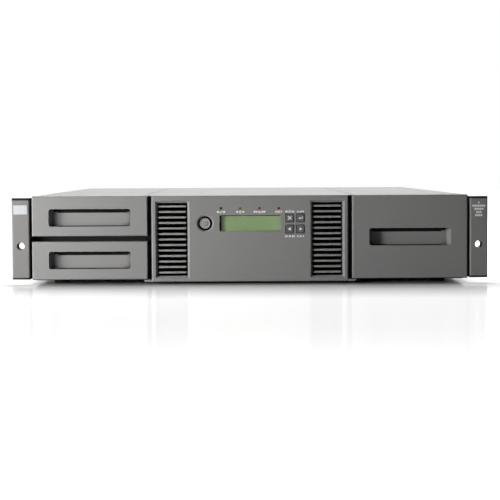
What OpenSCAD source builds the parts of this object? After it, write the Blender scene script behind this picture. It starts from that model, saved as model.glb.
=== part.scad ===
// Rack-mount data tape library, 19-inch and two units high.
// X runs across the front, Y from front to back and Z up. The origin is the middle of the footprint.
// Two magazines flank a bay in which a cartridge picker travels on floor rails to a tape drive.

/* [Rack and case] */
// Width over both rack ears
rack_w = 482.6; // [481:0.1:485]
// Depth from the front panels to the drive's handle
overall_d = 690; // [680:1:760]
// Height of the case without its feet
unit_h = 86.3; // [86:0.1:92]
// Height of the rubber feet
foot_h = 3.3; // [2:0.1:8]
// Radius of the rubber feet
foot_r = 9; // [6:0.5:12]
// Thickness of the case's steel sheet
sheet_t = 1.2; // [0.8:0.1:1.4]
// Depth of the drive's handle behind the rear panel
handle_d = 15; // [13:0.5:18]

/* [Rack ears] */
// Width of each ear
ear_w = 18; // [16:0.1:20]
// Height of each ear
ear_h = 82.6; // [80:0.1:84]
// Drop of the ears' tops below the case's top
ear_drop = 1.8; // [0.2:0.1:3]
// Distance from an ear's outer edge to its rack hole
ear_hole_inset = 8.75; // [8:0.05:10]
// Height of the rack holes above the case's underside
ear_hole_up = 35.7; // [30:0.1:50]
// Radius of the rack holes in the steel brackets
ear_hole_r = 3.5; // [3:0.1:3.9]
// Radius of the round windows in the ear covers
ear_window_r = 4; // [4:0.1:5]
// Gap between each ear and its magazine panel
ear_gap = 2.4; // [1:0.1:3]
// Thickness of the steel brackets
bracket_t = 2; // [1.5:0.1:2.5]
// Length of the bracket's side plate
bracket_d = 150; // [100:1:200]

/* [Front panels] */
// Depth of the moulded front panels
bezel_t = 18; // [17:0.1:22]
// Wall thickness of the front mouldings
skin_t = 3; // [2.4:0.1:3.2]
// Rounding of the panels' front edges
edge_r = 1.6; // [0.6:0.1:2]
// Width of the centre bezel
bezel_w = 199.6; // [198:0.1:201]
// Gap on each side of the centre bezel
bezel_gap = 3.9; // [2:0.1:5]
// Gap between the two left panels
split_gap = 5.3; // [2:0.1:6]
// Height of the lower left panel
lower_panel_h = 39; // [36:0.1:40]
// Clearance under the magazine panels
panel_lift = 1.4; // [1:0.1:4]
// Width of a handle pocket
pocket_w = 83; // [60:1:90]
// Height of a handle pocket
pocket_h = 17.8; // [14:0.1:20]
// Depth of the finger slot along the top of a handle pocket
pocket_d = 14; // [12:0.1:14.5]
// Depth of a pocket below its finger slot
ledge_d = 9.5; // [7:0.1:10.5]
// Height of the finger slot
finger_h = 3; // [2.4:0.1:6]
// Slope of a pocket's outer end, across its depth
pocket_slope = 4; // [1:0.1:6]
// Corner radius of a handle pocket
pocket_r = 2.5; // [1.6:0.1:4]
// Chamfer round the vents
chamfer_w = 1.6; // [0.4:0.1:2]

/* [Vents and display] */
// Width of a vent opening
vent_w = 31.4; // [26:0.1:33]
// Height of a vent opening
vent_h = 75.6; // [70:0.1:76]
// Distance from the bezel's side to the vent opening
vent_inset = 5.45; // [5:0.05:7]
// Number of slats in a vent
slat_n = 13; // [9:1:14]
// Thickness of a slat
slat_t = 2.1; // [1.4:0.1:2.6]
// Width of a slat
slat_w = 27.3; // [22:0.1:28]
// Distance from slat to slat
slat_pitch = 5.6; // [5:0.05:5.8]
// Width of the display's window
lcd_w = 62; // [50:0.5:64]
// Height of the display's window
lcd_h = 16.5; // [12:0.5:18]
// Height of the display's centre above the case's underside
lcd_up = 58.1; // [55:0.05:60]
// Radius of the status lights
led_r = 1.5; // [1:0.1:2]
// Distance from light to light
led_pitch = 19.5; // [12:0.1:20]

/* [Buttons] */
// Radius of the power button
power_r = 5.2; // [4:0.1:6]
// Sideways place of the power button
power_x = -45.4; // [-47:0.1:-44]
// Width of a menu button
key_w = 8.3; // [6:0.1:8.6]
// Distance between the two columns of menu buttons
key_pitch_x = 10.9; // [10.9:0.1:11.5]
// Distance between the two rows of menu buttons
key_pitch_z = 11.3; // [11:0.1:12]
// Middle of the menu buttons, sideways
key_x = 45.85; // [45:0.05:47]
// How far a button travels
key_travel = 1; // [0.5:0.1:1.1]

/* [Cartridges and magazines] */
// Width of a tape cartridge
cart_w = 102; // [100:0.1:103]
// Length of a tape cartridge
cart_l = 105.4; // [104:0.1:105.8]
// Thickness of a tape cartridge
cart_t = 21.5; // [20:0.1:21.8]
// Free width beside a cartridge in its cell
cell_play = 1.5; // [1:0.1:2]
// Free height above a cartridge in its cell
cell_head = 1.5; // [1.3:0.1:1.7]
// Columns of cells in a magazine
columns = 4; // [3:1:4]
// Rows of cells in a magazine
rows = 3; // [3:1:3]
// Thickness of a divider between columns
divider_t = 2; // [1.2:0.1:2.4]
// Thickness of a shelf between rows
shelf_t = 1.4; // [1:0.1:1.5]
// Thickness of a magazine's outer wall
mag_wall_t = 1.6; // [1:0.1:1.8]

/* [Picker] */
// Tooth size of the picker's gears, as a module
gear_m = 1; // [0.9:0.05:1.1]
// Teeth of the carriage's pinion
pinion_n = 16; // [14:1:18]
// Teeth of the turntable's fixed gear
sun_n = 111; // [105:1:111]
// Radius of the turntable
table_r = 74; // [72:0.5:75]
// Thickness of the carriage and turntable plates
plate_t = 1.5; // [1:0.1:1.6]
// Radius of a lift post
post_r = 3; // [2:0.1:3.5]
// Radius of the lift screw
screw_r = 2.5; // [2:0.1:3]
// Radius of the carriage's motor
motor_r = 9; // [7:0.5:9.5]
// Height of the carriage's motor
motor_h = 22; // [16:1:30]

/* [Drive and power supply] */
// Width of the tape drive
drive_w = 150; // [140:1:152]
// Height of the tape drive
drive_h = 80.5; // [70:0.5:81]
// Radius of the drive's fan
fan_r = 17; // [12:0.5:18]
// Width of the power supply
supply_w = 92; // [80:1:100]
// Height of the power supply
supply_h = 70; // [60:1:80]

/* [Hidden] */
$fn = 48;

// Clearances: between rigid pieces, between seated plates, and in running fits.
gap = 0.3;
seat = 0.1;
run = 0.05;
eps = 0.01;

// Case planes.
front_y = -overall_d / 2;
rear_y = overall_d / 2 - handle_d;
bottom_z = foot_h;
top_z = foot_h + unit_h;
floor_z = bottom_z + sheet_t;
roof_z = top_z - sheet_t;
back_y = front_y + bezel_t;
inner_y = back_y + sheet_t;

// Widths from the ears inwards.
ear_x = rack_w / 2 - ear_w;
ear_hole_x = rack_w / 2 - ear_hole_inset;
panel_x1 = ear_x - ear_gap;
panel_x0 = bezel_w / 2 + bezel_gap;
vent_x = bezel_w / 2 - vent_inset - vent_w / 2;
case_x = panel_x1 - 0.9;
pan_x = case_x - sheet_t;
case_in_x = pan_x - sheet_t;

// Front panels, from bottom to top.
panel_z0 = bottom_z + panel_lift;
lower_z1 = panel_z0 + lower_panel_h;
upper_z0 = lower_z1 + split_gap;
ear_z0 = top_z - ear_h - ear_drop;
vent_z0 = bottom_z + 4.1;
bezel_z0 = bottom_z - 1.7;
bezel_chamfer = 1.6;
lcd_z = bottom_z + lcd_up;
led_z = lcd_z + 15.2;
rack_hole_z = bottom_z + ear_hole_up;
recess_x = rack_w / 2 - 8.1;
recess_z = top_z - 13.6;
recess_w = 15.1;
recess_h = 9.4;
wall_t = skin_t - 0.5;
flange_t = 0.8;
switch_h = 2.3;
window_t = 1.2;
power_guide_h = 1.2;
board_y = front_y + skin_t + gap + flange_t + key_travel + 0.6 + switch_h;
post_inset = 18;
lip_w = 8.4;

// Picker's layers, each above the last.
carriage_z = floor_z + 0.6;
sun_z = carriage_z + plate_t;
sun_t = 1.6;
table_z = sun_z + sun_t + gap;
table_t = 1.2;
yoke_z = table_z + table_t + 0.4;
yoke_t = 0.8;
tray_z = yoke_z + yoke_t + gap;
tray_t = 1;
tray_top = tray_z + tray_t;

// Cells.
cell_h = cart_t + cell_head;
row_pitch = cell_h + shelf_t;
row_z = tray_top + seat;
mag_z0 = row_z - shelf_t;
mag_z1 = row_z + rows * row_pitch;
cell_w = cart_w + cell_play;
col_pitch = cell_w + divider_t;
mag_x0 = panel_x0 + 3.3;
mag_x1 = case_in_x - 0.6;
cell_x0 = mag_x0 + 3;
cell_x1 = mag_x1 - mag_wall_t - seat;
mailslot_z = row_z + (rows - 1) * row_pitch;

// Picker tray and its turning circle.
tray_x = cart_w / 2 + 0.7;
tray_wall_t = 1.2;
tray_x1 = tray_x + tray_wall_t;
tray_y = cart_l / 2 + 1.3;
yoke_x = tray_x1 + gap;
yoke_wall_t = 1.8;
turn_r = ceil(10 * norm([tray_x1, tray_y])) / 10;
col_y = inner_y + turn_r + 3.2;
last_col_y = col_y + (columns - 1) * col_pitch;
mag_y0 = back_y + gap;
mag_y1 = last_col_y + col_pitch / 2 + divider_t / 2;
rest_y = (col_y + last_col_y) / 2;

// Rails, rack and gears.
rail_x = panel_x0 - 10.2;
rail_w = 7;
rail_stem_w = 3;
rail_stem_z = floor_z + 1.5;
rail_z1 = floor_z + 3.1;
rail_y1 = last_col_y + 72;
backlash = 0.2;
rack_x = -(rail_x - 10.5);
rack_z1 = floor_z + 2.5;
pinion_r = gear_m * pinion_n / 2;
pinion_x = rack_x + pinion_r;
pinion_y = -64;
sun_r = gear_m * sun_n / 2;
turn_x = -(sun_r + pinion_r);
arm_z = rack_z1 + gap;
arm_t = 1.7;
plate_x = rail_x - 14;
arm_x = plate_x - 17.5;
arm_y0 = 55;
arm_y1 = 75.5;
shaft_r = 1.5;
turn_motor_r = 7;
post_x = 63;
post_y = 27;
boss_r = post_r + 2.5;
screw_x = 64.5;
lift_motor_r = 8;
lift_motor_h = 15;
bridge_t = 2;
bridge_z = roof_z - 1.9 - bridge_t;
boss_h = 10;
nut_z = table_z + table_t + lift_motor_h + 2;
nut_h = 6;

// Drive and rear bay.
drive_y0 = last_col_y + 75.2;
drive_face_t = 2.2;
drive_z0 = floor_z + 1.5;
drive_plate_t = 1.5;
drive_plate_y = rear_y + gap;
drive_back_y = drive_plate_y + drive_plate_t;
mouth_w = cart_w + 4;
mouth_h = cart_t + 3.5;
mouth_z = row_z + row_pitch;
mouth_d = cart_l + 8;
fan_d = 12;
drive_fan_x = 42;
drive_fan_z = drive_z0 + drive_h - fan_r - 6;
supply_x = (mag_x0 + mag_x1) / 2 + 2;
supply_y0 = mag_y1 + 44.75;
supply_z0 = floor_z + seat;
supply_fan_x = supply_x + 22;
supply_fan_z = supply_z0 + supply_h / 2;
inlet_x = supply_x - 22;
inlet_w = 27;
inlet_h = 20;
inlet_z = supply_z0 + 26;
port_z = floor_z + 8;
port_x = -mag_x1;
sled_w = 6;
bail_x0 = -drive_w / 2 + 13;
bail_w = 54;
bail_r = 4;
bail_z = drive_z0 + drive_h * 0.62;
thumb_r = 4;
socket_d = 6;
board_y0 = supply_y0 - 18;
board_y1 = rear_y - 3;

plastic = [0.42, 0.42, 0.41];
steel = [0.80, 0.79, 0.77];
black = [0.08, 0.08, 0.09];

// ---------------------------------------------------------------- shared shapes

// Box given by its low and high corner.
module box(a, b) translate(a) cube(b - a);

// The same box on the left for s below 0, mirrored from the right.
module sided_box(s, a, b) mirror([s > 0 ? 0 : 1, 0, 0]) box(a, b);

// Flat outline w wide and t deep whose two front corners are round.
module nosed_outline(w, t, r) {
    translate([0, r]) square([w, t - r]);
    translate([r, 0]) square([w - 2 * r, 2 * r]);
    for (x = [r, w - r]) translate([x, r]) circle(r);
}

// Slab from the front plane back, with its four front edges rounded.
module front_slab(x0, x1, z0, z1, t, r = edge_r) {
    intersection() {
        translate([x0, front_y, z0]) linear_extrude(z1 - z0) nosed_outline(x1 - x0, t, r);
        translate([x1, front_y, z0]) rotate([0, -90, 0]) linear_extrude(x1 - x0)
            nosed_outline(z1 - z0, t, r);
    }
}

// Hollow moulding: a nosed slab with a skin in front and walls behind it.
module front_shell(x0, x1, z0, z1, t) {
    difference() {
        front_slab(x0, x1, z0, z1, t);
        box([x0 + wall_t, front_y + skin_t, z0 + wall_t], [x1 - wall_t, front_y + t + 1, z1 - wall_t]);
    }
}

// Rectangle with round corners, given by its low and high corner.
module round_rect(a, b, r) {
    translate([a[0] + r, a[1]]) square([b[0] - a[0] - 2 * r, b[1] - a[1]]);
    translate([a[0], a[1] + r]) square([b[0] - a[0], b[1] - a[1] - 2 * r]);
    for (x = [a[0] + r, b[0] - r], z = [a[1] + r, b[1] - r]) translate([x, z]) circle(r);
}

// Upright prism along Y from y0 to y1 of an outline drawn in X and Z.
module along_y(y0, y1) translate([0, y1, 0]) rotate([90, 0, 0]) linear_extrude(y1 - y0) children();

// Cut with a chamfered mouth in the front plane.
module chamfered_mouth(x0, x1, z0, z1, c) {
    w = x1 - x0;
    h = z1 - z0;
    intersection() {
        translate([x0, front_y, z0 - c]) linear_extrude(h + 2 * c)
            polygon([[-c - eps, -eps], [w + c + eps, -eps], [w, c], [0, c]]);
        translate([x1 + c, front_y, z0]) rotate([0, -90, 0]) linear_extrude(w + 2 * c)
            polygon([[-c - eps, -eps], [h + c + eps, -eps], [h, c], [0, c]]);
    }
}

// Cylinder along Y.
module rod_y(x, z, y0, y1, r) translate([x, y0, z]) rotate([-90, 0, 0]) cylinder(h = y1 - y0, r = r);

// Involute of a circle, as degrees, at a pressure angle.
function inv_deg(a) = tan(a) * 180 / PI - a;

// Half the angle of a tooth at radius p on a gear of pitch radius r.
function half_tooth(p, r, n) =
    let (base = r * cos(20), a = p > base ? acos(base / p) : 0)
    90 / n - backlash * 90 / (PI * r) + inv_deg(20) - inv_deg(a);

// Spur gear outline with one tooth centred on the +X axis.
module gear_outline(n) {
    r = gear_m * n / 2;
    radii = [for (k = [0 : 4]) r - 1.25 * gear_m + k * (2.2 * gear_m) / 4];
    flank = [for (p = radii) [p, half_tooth(p, r, n)]];
    polygon([for (i = [0 : n - 1], s = [-1, 1], k = [0 : 4])
        let (f = flank[s < 0 ? k : 4 - k], a = i * 360 / n + s * f[1]) f[0] * [cos(a), sin(a)]]);
}

// Fan rotor on the Y axis: a hub with a bore and pitched blades.
module fan_rotor(r, depth) {
    hub_r = r * 0.4;
    rotate([-90, 0, 0]) difference() {
        union() {
            cylinder(h = depth, r = hub_r);
            intersection() {
                cylinder(h = depth, r = r);
                for (i = [0 : 6]) rotate(i * 360 / 7) translate([0, 0, depth / 2]) rotate([38, 0, 0])
                    translate([hub_r - 1, -depth * 0.75, -0.5]) cube([r, depth * 1.5, 1]);
            }
        }
        translate([0, 0, -1]) cylinder(h = depth + 2, r = shaft_r + run);
    }
}

// ---------------------------------------------------------------- case

// Floor plate with a wall riveted to each side.
module base_pan() {
    y0 = back_y + sheet_t + seat;
    y1 = rear_y - sheet_t - seat;
    wall_x = pan_x - sheet_t;
    color(steel) {
        box([seat - wall_x, y0, bottom_z], [wall_x - seat, y1, floor_z]);
        for (s = [-1, 1]) sided_box(s, [wall_x, y0, bottom_z], [pan_x, y1, roof_z - seat]);
    }
}

module top_cover() {
    y0 = back_y + seat;
    seam_x = panel_x0 + 4;
    color(steel) difference() {
        union() {
            box([-case_x, y0, roof_z], [case_x, rear_y, top_z]);
            for (s = [-1, 1]) sided_box(s, [pan_x + seat, y0, roof_z - 12], [case_x, rear_y, roof_z + eps]);
        }
        for (s = [-1, 1])
            sided_box(s, [seam_x - 0.9, back_y - 1, top_z - 0.5], [seam_x + 0.9, rear_y + 1, top_z + 1]);
    }
}

module cover_screws() {
    color([0.72, 0.72, 0.74]) {
        for (s = [-1, 1], y = [rear_y - 40, 120, -60]) translate([s * case_x, y, roof_z - 6])
            rotate([0, s * 90, 0]) pan_screw();
        for (s = [-1, 1], y = [back_y + 35, back_y + bracket_d - 22], z = [bottom_z + 20, top_z - 24])
            translate([s * (case_x + seat + bracket_t), y, z]) rotate([0, s * 90, 0]) pan_screw();
    }
}

// Low pan-head screw whose head stands on the plane below it.
module pan_screw() {
    difference() {
        union() {
            translate([0, 0, seat / 2]) cylinder(h = 0.9, r = 3.2);
            translate([0, 0, seat / 2 + 0.9 - eps]) cylinder(h = 0.8, r1 = 3.2, r2 = 2.2);
        }
        for (a = [0, 90]) rotate(a) translate([-2, -0.4, 1]) cube([4, 0.8, 2]);
    }
}

module rear_panel() {
    y0 = rear_y - 5;
    y1 = rear_y + 5;
    supply_x0 = supply_x - supply_w / 2 - 0.4;
    color(steel) difference() {
        box([-pan_x, rear_y - sheet_t, bottom_z], [pan_x, rear_y, roof_z - seat]);
        box([-drive_w / 2 - 1, y0, drive_z0 - 1.2], [drive_w / 2 + 1, y1, drive_z0 + drive_h + 0.4]);
        box([supply_x0, y0, supply_z0 + 1.5], [supply_x0 + supply_w + 0.8, y1, supply_z0 + supply_h + 0.4]);
        port_outlines(0.4, y0, y1);
        for (i = [0 : 7]) box([port_x + 13 + i * 11, y0, top_z - 42], [port_x + 17 + i * 11, y1, top_z - 16]);
    }
}

module front_frame() {
    y0 = back_y - 1;
    y1 = inner_y + 1;
    color(black) difference() {
        box([-pan_x, back_y + eps, bottom_z], [pan_x, inner_y, roof_z - seat]);
        for (s = [-1, 1]) {
            sided_box(s, [mag_x0 - 0.8, y0, mag_z0 - 0.6], [mag_x1 + gap, y1, mag_z1 + 0.6]);
            sided_box(s, [vent_x - vent_w / 2 + 1, y0, vent_z0 + 2],
                [vent_x + vent_w / 2 - 1, y1, vent_z0 + vent_h - 2]);
        }
        box([-50, y0, bottom_z + 14], [50, y1, bottom_z + 32]);
    }
}

module rubber_feet() {
    color(black) for (s = [-1, 1], t = [-1, 1])
        translate([s * (case_x - 25), t * (overall_d / 2 - 45), 0])
            cylinder(h = foot_h - eps, r1 = foot_r - 1, r2 = foot_r);
}

// ---------------------------------------------------------------- ears

module ear_cover() {
    difference() {
        front_slab(ear_x, rack_w / 2, ear_z0, ear_z0 + ear_h, bezel_t - bracket_t - seat);
        box([ear_x + wall_t, front_y + skin_t, ear_z0 + wall_t],
            [rack_w / 2 - wall_t, back_y, rack_hole_z - ear_window_r - 3]);
        box([ear_x + wall_t, front_y + skin_t, rack_hole_z + ear_window_r + 3],
            [rack_w / 2 - wall_t, back_y, ear_z0 + ear_h - wall_t]);
        rod_y(ear_hole_x, rack_hole_z, front_y - 1, back_y, ear_window_r);
    }
}

module left_ear_cover() color(plastic) mirror([1, 0, 0]) difference() {
    ear_cover();
    box([recess_x - recess_w / 2, front_y - 1, recess_z - recess_h / 2],
        [recess_x + recess_w / 2, front_y + 0.4, recess_z + recess_h / 2]);
}

module right_ear_cover() color(plastic) ear_cover();

module rack_brackets() {
    x0 = case_x + seat;
    x1 = x0 + bracket_t;
    y0 = back_y - bracket_t;
    y1 = back_y + bracket_d;
    z1 = ear_z0 + ear_h;
    color(black) for (s = [0, 1]) mirror([s, 0, 0]) difference() {
        union() {
            box([panel_x1 + gap, y0, ear_z0], [rack_w / 2, back_y, z1]);
            box([panel_x1 + gap, y0, ear_z0 + 3], [x1, y1, z1 - 4]);
            box([x0, back_y + gap, ear_z0 + 3], [x1, y1, z1 - 4]);
        }
        rod_y(ear_hole_x, rack_hole_z, back_y - 9, back_y + 9, ear_hole_r);
    }
}

// ---------------------------------------------------------------- centre bezel

module centre_bezel() {
    x1 = bezel_w / 2;
    y0 = front_y - 1;
    y1 = front_y + 5;
    vx0 = vent_x - vent_w / 2;
    vent_z1 = vent_z0 + vent_h;
    color(plastic) difference() {
        union() {
            front_shell(-x1, x1, bezel_z0, top_z, bezel_t);
            for (s = [-1, 1]) mirror([s > 0 ? 0 : 1, 0, 0]) bezel_lip(x1);
            for (x = [-56, 56], t = [-1, 1])
                rod_y(x, lcd_z + 3 + t * post_inset, front_y + 2, board_y - seat, 2.2);
            rod_y(power_x, lcd_z, front_y + 1, front_y + skin_t + power_guide_h, power_r + 2.2);
        }
        for (s = [-1, 1]) {
            sided_box(s, [vx0, y0, vent_z0], [vx0 + vent_w, y1, vent_z1]);
            mirror([s > 0 ? 0 : 1, 0, 0]) chamfered_mouth(vx0, vx0 + vent_w, vent_z0, vent_z1, chamfer_w);
        }
        along_y(y0, y1) round_rect([-lcd_w / 2, lcd_z - lcd_h / 2], [lcd_w / 2, lcd_z + lcd_h / 2], 0.8);
        for (i = [0 : 3]) rod_y((i - 1.5) * led_pitch, led_z, y0, y1, led_r + run);
        for (i = [-1, 1], j = [-1, 1]) along_y(y0, y1) key_outline(i, j, key_w / 2 + 0.5);
        rod_y(power_x, lcd_z, y0, front_y + 9, power_r + gap);
        translate([power_x, front_y - eps, lcd_z]) rotate([-90, 0, 0])
            cylinder(h = 1.2, r1 = power_r + 4, r2 = power_r + 2.2);
        rod_y(power_x, lcd_z, front_y + 1, front_y + 2.6, power_r + 2.2);
        translate([0, front_y, bezel_z0]) rotate([45, 0, 0])
            cube([bezel_w + 2, bezel_chamfer, bezel_chamfer], center = true);
    }
}

// Lip that runs out of the bezel's lower corner, under the next panel.
module bezel_lip(x) {
    z0 = bezel_z0 + 0.8;
    z1 = panel_z0 - gap;
    along_y(front_y + 0.4, front_y + skin_t)
        polygon([[x - 3, z0], [x + lip_w - 2, z0], [x + lip_w, z1], [x - 3, z1]]);
}

// Square with round corners about a menu button's centre, half as wide as h.
module key_outline(i, j, h) {
    x = key_x + i * key_pitch_x / 2;
    z = lcd_z - 0.4 + j * key_pitch_z / 2;
    round_rect([x - h, z - h], [x + h, z + h], 1.6);
}

module vent_grille(s) {
    fy0 = front_y + skin_t + seat;
    fy1 = fy0 + 7;
    x0 = s * vent_x - vent_w / 2;
    x1 = x0 + vent_w;
    slats_z = vent_z0 + (vent_h - (slat_n - 1) * slat_pitch) / 2;
    color(plastic) {
        difference() {
            box([x0 - 2, fy0, vent_z0 - 2], [x1 + 2, fy1, vent_z0 + vent_h + 1.5]);
            box([x0 + 0.4, fy0 - 1, vent_z0 + 0.6], [x1 - 0.4, fy1 + 1, vent_z0 + vent_h - 0.6]);
        }
        for (i = [0 : slat_n - 1]) {
            z = slats_z + i * slat_pitch;
            translate([s * vent_x - slat_w / 2, front_y + 1.4, z])
                rotate([90, 0, 90]) linear_extrude(slat_w) slat_outline(fy1 - front_y - 1.4);
            box([x0, fy1 - 1.8, z - slat_t / 4], [x1, fy1, z + slat_t / 4]);
        }
    }
}

// Slat's section of depth d, with a round nose in front.
module slat_outline(d) {
    r = slat_t / 2;
    translate([r, 0]) circle(r);
    translate([r, -r]) square([d - r, slat_t]);
}

module left_vent_grille() vent_grille(-1);

module right_vent_grille() vent_grille(1);

module display_window() {
    y = front_y + skin_t + seat;
    color([0.55, 0.62, 0.45, 0.6]) behind_display(y, y + window_t);
}

module display_module() color([0.50, 0.58, 0.42])
    behind_display(front_y + skin_t + seat + window_t + seat, board_y - seat);

// Slab behind the display's opening that laps it all round.
module behind_display(y0, y1) box([-lcd_w / 2 - 1.5, y0, lcd_z - lcd_h / 2 - 1.5],
    [lcd_w / 2 + 1.5, y1, lcd_z + lcd_h / 2 + 1.5]);

module front_panel_board() {
    color([0.10, 0.35, 0.18]) {
        box([-60, board_y, lcd_z - post_inset], [60, board_y + 1.6, lcd_z + 6 + post_inset]);
        for (i = [-1, 1], j = [-1, 1])
            key_switch(key_x + i * key_pitch_x / 2, lcd_z - 0.4 + j * key_pitch_z / 2, switch_h);
        key_switch(power_x, lcd_z, switch_h - power_guide_h);
    }
}

// Push switch that stands on the front of the board, h tall.
module key_switch(x, z, h) rod_y(x, z, board_y - h, board_y + eps, 1.7);

module status_led(i) rod_y((i - 1.5) * led_pitch, led_z, front_y, board_y - seat, led_r);

module ready_led() color([0.15, 0.35, 0.12]) status_led(0);

module clean_led() color([0.65, 0.42, 0.15]) status_led(1);

module attention_led() color([0.65, 0.32, 0.12]) status_led(2);

module error_led() color([0.45, 0.10, 0.10]) status_led(3);

// ---------------------------------------------------------------- buttons

// Menu button: a cap in the bezel's hole and a flange behind the skin.
module menu_button(i, j) {
    y0 = front_y;
    y1 = front_y + skin_t + gap;
    color(plastic) {
        along_y(y0 + 0.6, y1 + eps) key_outline(i, j, key_w / 2);
        along_y(y0, y0 + 0.6 + eps) key_outline(i, j, key_w / 2 - 0.5);
        along_y(y1, y1 + flange_t) key_outline(i, j, key_w / 2 + 0.9);
    }
}

module previous_button() menu_button(-1, -1);

module next_button() menu_button(1, -1);

module cancel_button() menu_button(-1, 1);

module enter_button() menu_button(1, 1);

module power_button() {
    y1 = front_y + skin_t + power_guide_h + gap;
    color(plastic) difference() {
        union() {
            rod_y(power_x, lcd_z, front_y + 0.4, y1 + eps, power_r);
            rod_y(power_x, lcd_z, y1, y1 + flange_t, power_r + 1);
        }
        difference() {
            rod_y(power_x, lcd_z, front_y - 1, front_y + 0.9, power_r - 0.9);
            rod_y(power_x, lcd_z, front_y - 1, front_y + 0.9, power_r - 2.1);
        }
    }
}

// ---------------------------------------------------------------- magazines

// Front panel of a magazine with its handle pocket.
module pocket_panel(z0, z1, pocket_z) {
    x0 = panel_x0;
    x1 = panel_x1;
    px0 = x0 + 17.4;
    px1 = px0 + pocket_w;
    slope_x = px1 - pocket_slope;
    pz0 = pocket_z - pocket_h / 2;
    pz1 = pocket_z + pocket_h / 2;
    difference() {
        union() {
            front_shell(x0, x1, z0, z1, bezel_t);
            box([px0 - 2, front_y + 1, pz0 - 2], [px1 + 2, front_y + pocket_d + 2, pz1 + 2]);
            for (x = [x0 + 8, x1 - 8]) rod_y(x, (z0 + z1) / 2, front_y + 1, back_y, 3);
        }
        intersection() {
            along_y(front_y - 1, front_y + ledge_d) round_rect([px0, pz0], [px1, pz1], pocket_r);
            translate([0, 0, pz0 - 1]) linear_extrude(pocket_h + 2)
                polygon([[px0 - 1, front_y - 2], [px1 + 1, front_y - 2], [px1 + 1, front_y - eps],
                    [px1, front_y], [slope_x, front_y + ledge_d + 1], [px0 - 1, front_y + ledge_d + 1]]);
        }
        along_y(front_y + ledge_d - 1, front_y + pocket_d)
            round_rect([px0, pz1 - finger_h], [slope_x, pz1], finger_h / 2 - eps);
    }
}

// Floor, roof, outer wall and front plate of a magazine, snapped together.
module magazine_shell(front_z1) {
    box([mag_x0, mag_y0, mag_z0], [mag_x1, mag_y1, row_z]);
    box([mag_x0, mag_y0, mag_z1 - shelf_t], [mag_x1, mag_y1, mag_z1 - 0.2]);
    difference() {
        box([mag_x1 - mag_wall_t, mag_y0, row_z + seat], [mag_x1, mag_y1, mag_z1 - shelf_t - seat]);
        for (c = [0 : columns - 1], r = [0 : rows - 1])
            translate([mag_x1 - 3, col_y + c * col_pitch, row_z + cell_h / 2 + r * row_pitch])
                rotate([0, 90, 0]) cylinder(h = 6, r = 6);
    }
    box([mag_x0, mag_y0, row_z + seat], [mag_x1 - mag_wall_t - seat, mag_y0 + 2, front_z1]);
}

// Dividers between the columns and shelves between the rows.
module magazine_cells(first_z1) {
    y0 = col_y - col_pitch / 2;
    for (c = [0 : columns]) box([cell_x0, y0 + c * col_pitch - divider_t / 2, row_z + seat],
        [cell_x1, y0 + c * col_pitch + divider_t / 2, c == 0 ? first_z1 : mag_z1 - shelf_t - seat]);
    for (c = [0 : columns - 1], r = [1 : rows - 1]) difference() {
        box([cell_x0, y0 + c * col_pitch + divider_t / 2 + seat, row_z + r * row_pitch - shelf_t],
            [cell_x1, y0 + (c + 1) * col_pitch - divider_t / 2 - seat, row_z + r * row_pitch]);
        translate([cell_x0, col_y + c * col_pitch, row_z + r * row_pitch - shelf_t - 1])
            cylinder(h = shelf_t + 2, r = 9);
    }
}

module right_magazine_shell() color([0.30, 0.30, 0.31]) magazine_shell(mag_z1 - shelf_t - seat);

module right_magazine_cells() color([0.36, 0.36, 0.37]) magazine_cells(mag_z1 - shelf_t - seat);

module right_magazine_panel() color(plastic) pocket_panel(panel_z0, top_z, (panel_z0 + top_z) / 2 - 0.15);

module left_magazine_shell() color([0.30, 0.30, 0.31]) mirror([1, 0, 0]) magazine_shell(mailslot_z - shelf_t);

module left_magazine_cells() color([0.36, 0.36, 0.37]) mirror([1, 0, 0]) magazine_cells(mailslot_z - shelf_t);

module left_magazine_panel() color(plastic) mirror([1, 0, 0])
    pocket_panel(panel_z0, lower_z1, panel_z0 + 19.85);

module mailslot_panel() color(plastic) mirror([1, 0, 0]) pocket_panel(upper_z0, top_z, upper_z0 + 18.7);

module mailslot_tray() {
    z0 = mailslot_z + gap;
    y1 = col_y + cell_w / 2 - 1;
    color([0.40, 0.40, 0.41]) mirror([1, 0, 0]) {
        box([cell_x0 + 0.5, back_y + seat, z0], [cell_x1 - gap, y1, z0 + 0.8]);
        box([cell_x1 - gap - 1, back_y + seat, z0], [cell_x1 - gap, y1, z0 + 17]);
        box([cell_x0 + 0.5, y1 - 1, z0], [cell_x1 - gap, y1, z0 + 17]);
        box([cell_x0 + 0.5, back_y + seat, z0], [cell_x1 - gap, back_y + seat + 2, z0 + 17]);
    }
}

module magazine_guides() {
    z1 = mag_z0 - gap;
    color(black) for (s = [0, 1]) mirror([s, 0, 0]) {
        box([mag_x0 - 2.6, inner_y + seat, floor_z + seat], [mag_x0 - 0.4, mag_y1, mag_z0 + 4]);
        box([mag_x0 + 8, inner_y + seat, floor_z + seat], [mag_x0 + 16, mag_y1, z1]);
        box([mag_x1 - 16, inner_y + seat, floor_z + seat], [mag_x1 - 8, mag_y1, z1]);
    }
}

// ---------------------------------------------------------------- carriage

module carriage_rails() {
    y0 = inner_y + seat;
    stem_x = rail_stem_w / 2;
    color([0.75, 0.76, 0.78]) for (s = [0, 1]) mirror([s, 0, 0]) {
        box([rail_x - stem_x, y0, floor_z + 0.05], [rail_x + stem_x, rail_y1, rail_stem_z + eps]);
        box([rail_x - rail_w / 2, y0, rail_stem_z], [rail_x + rail_w / 2, rail_y1, rail_z1]);
    }
}

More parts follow.
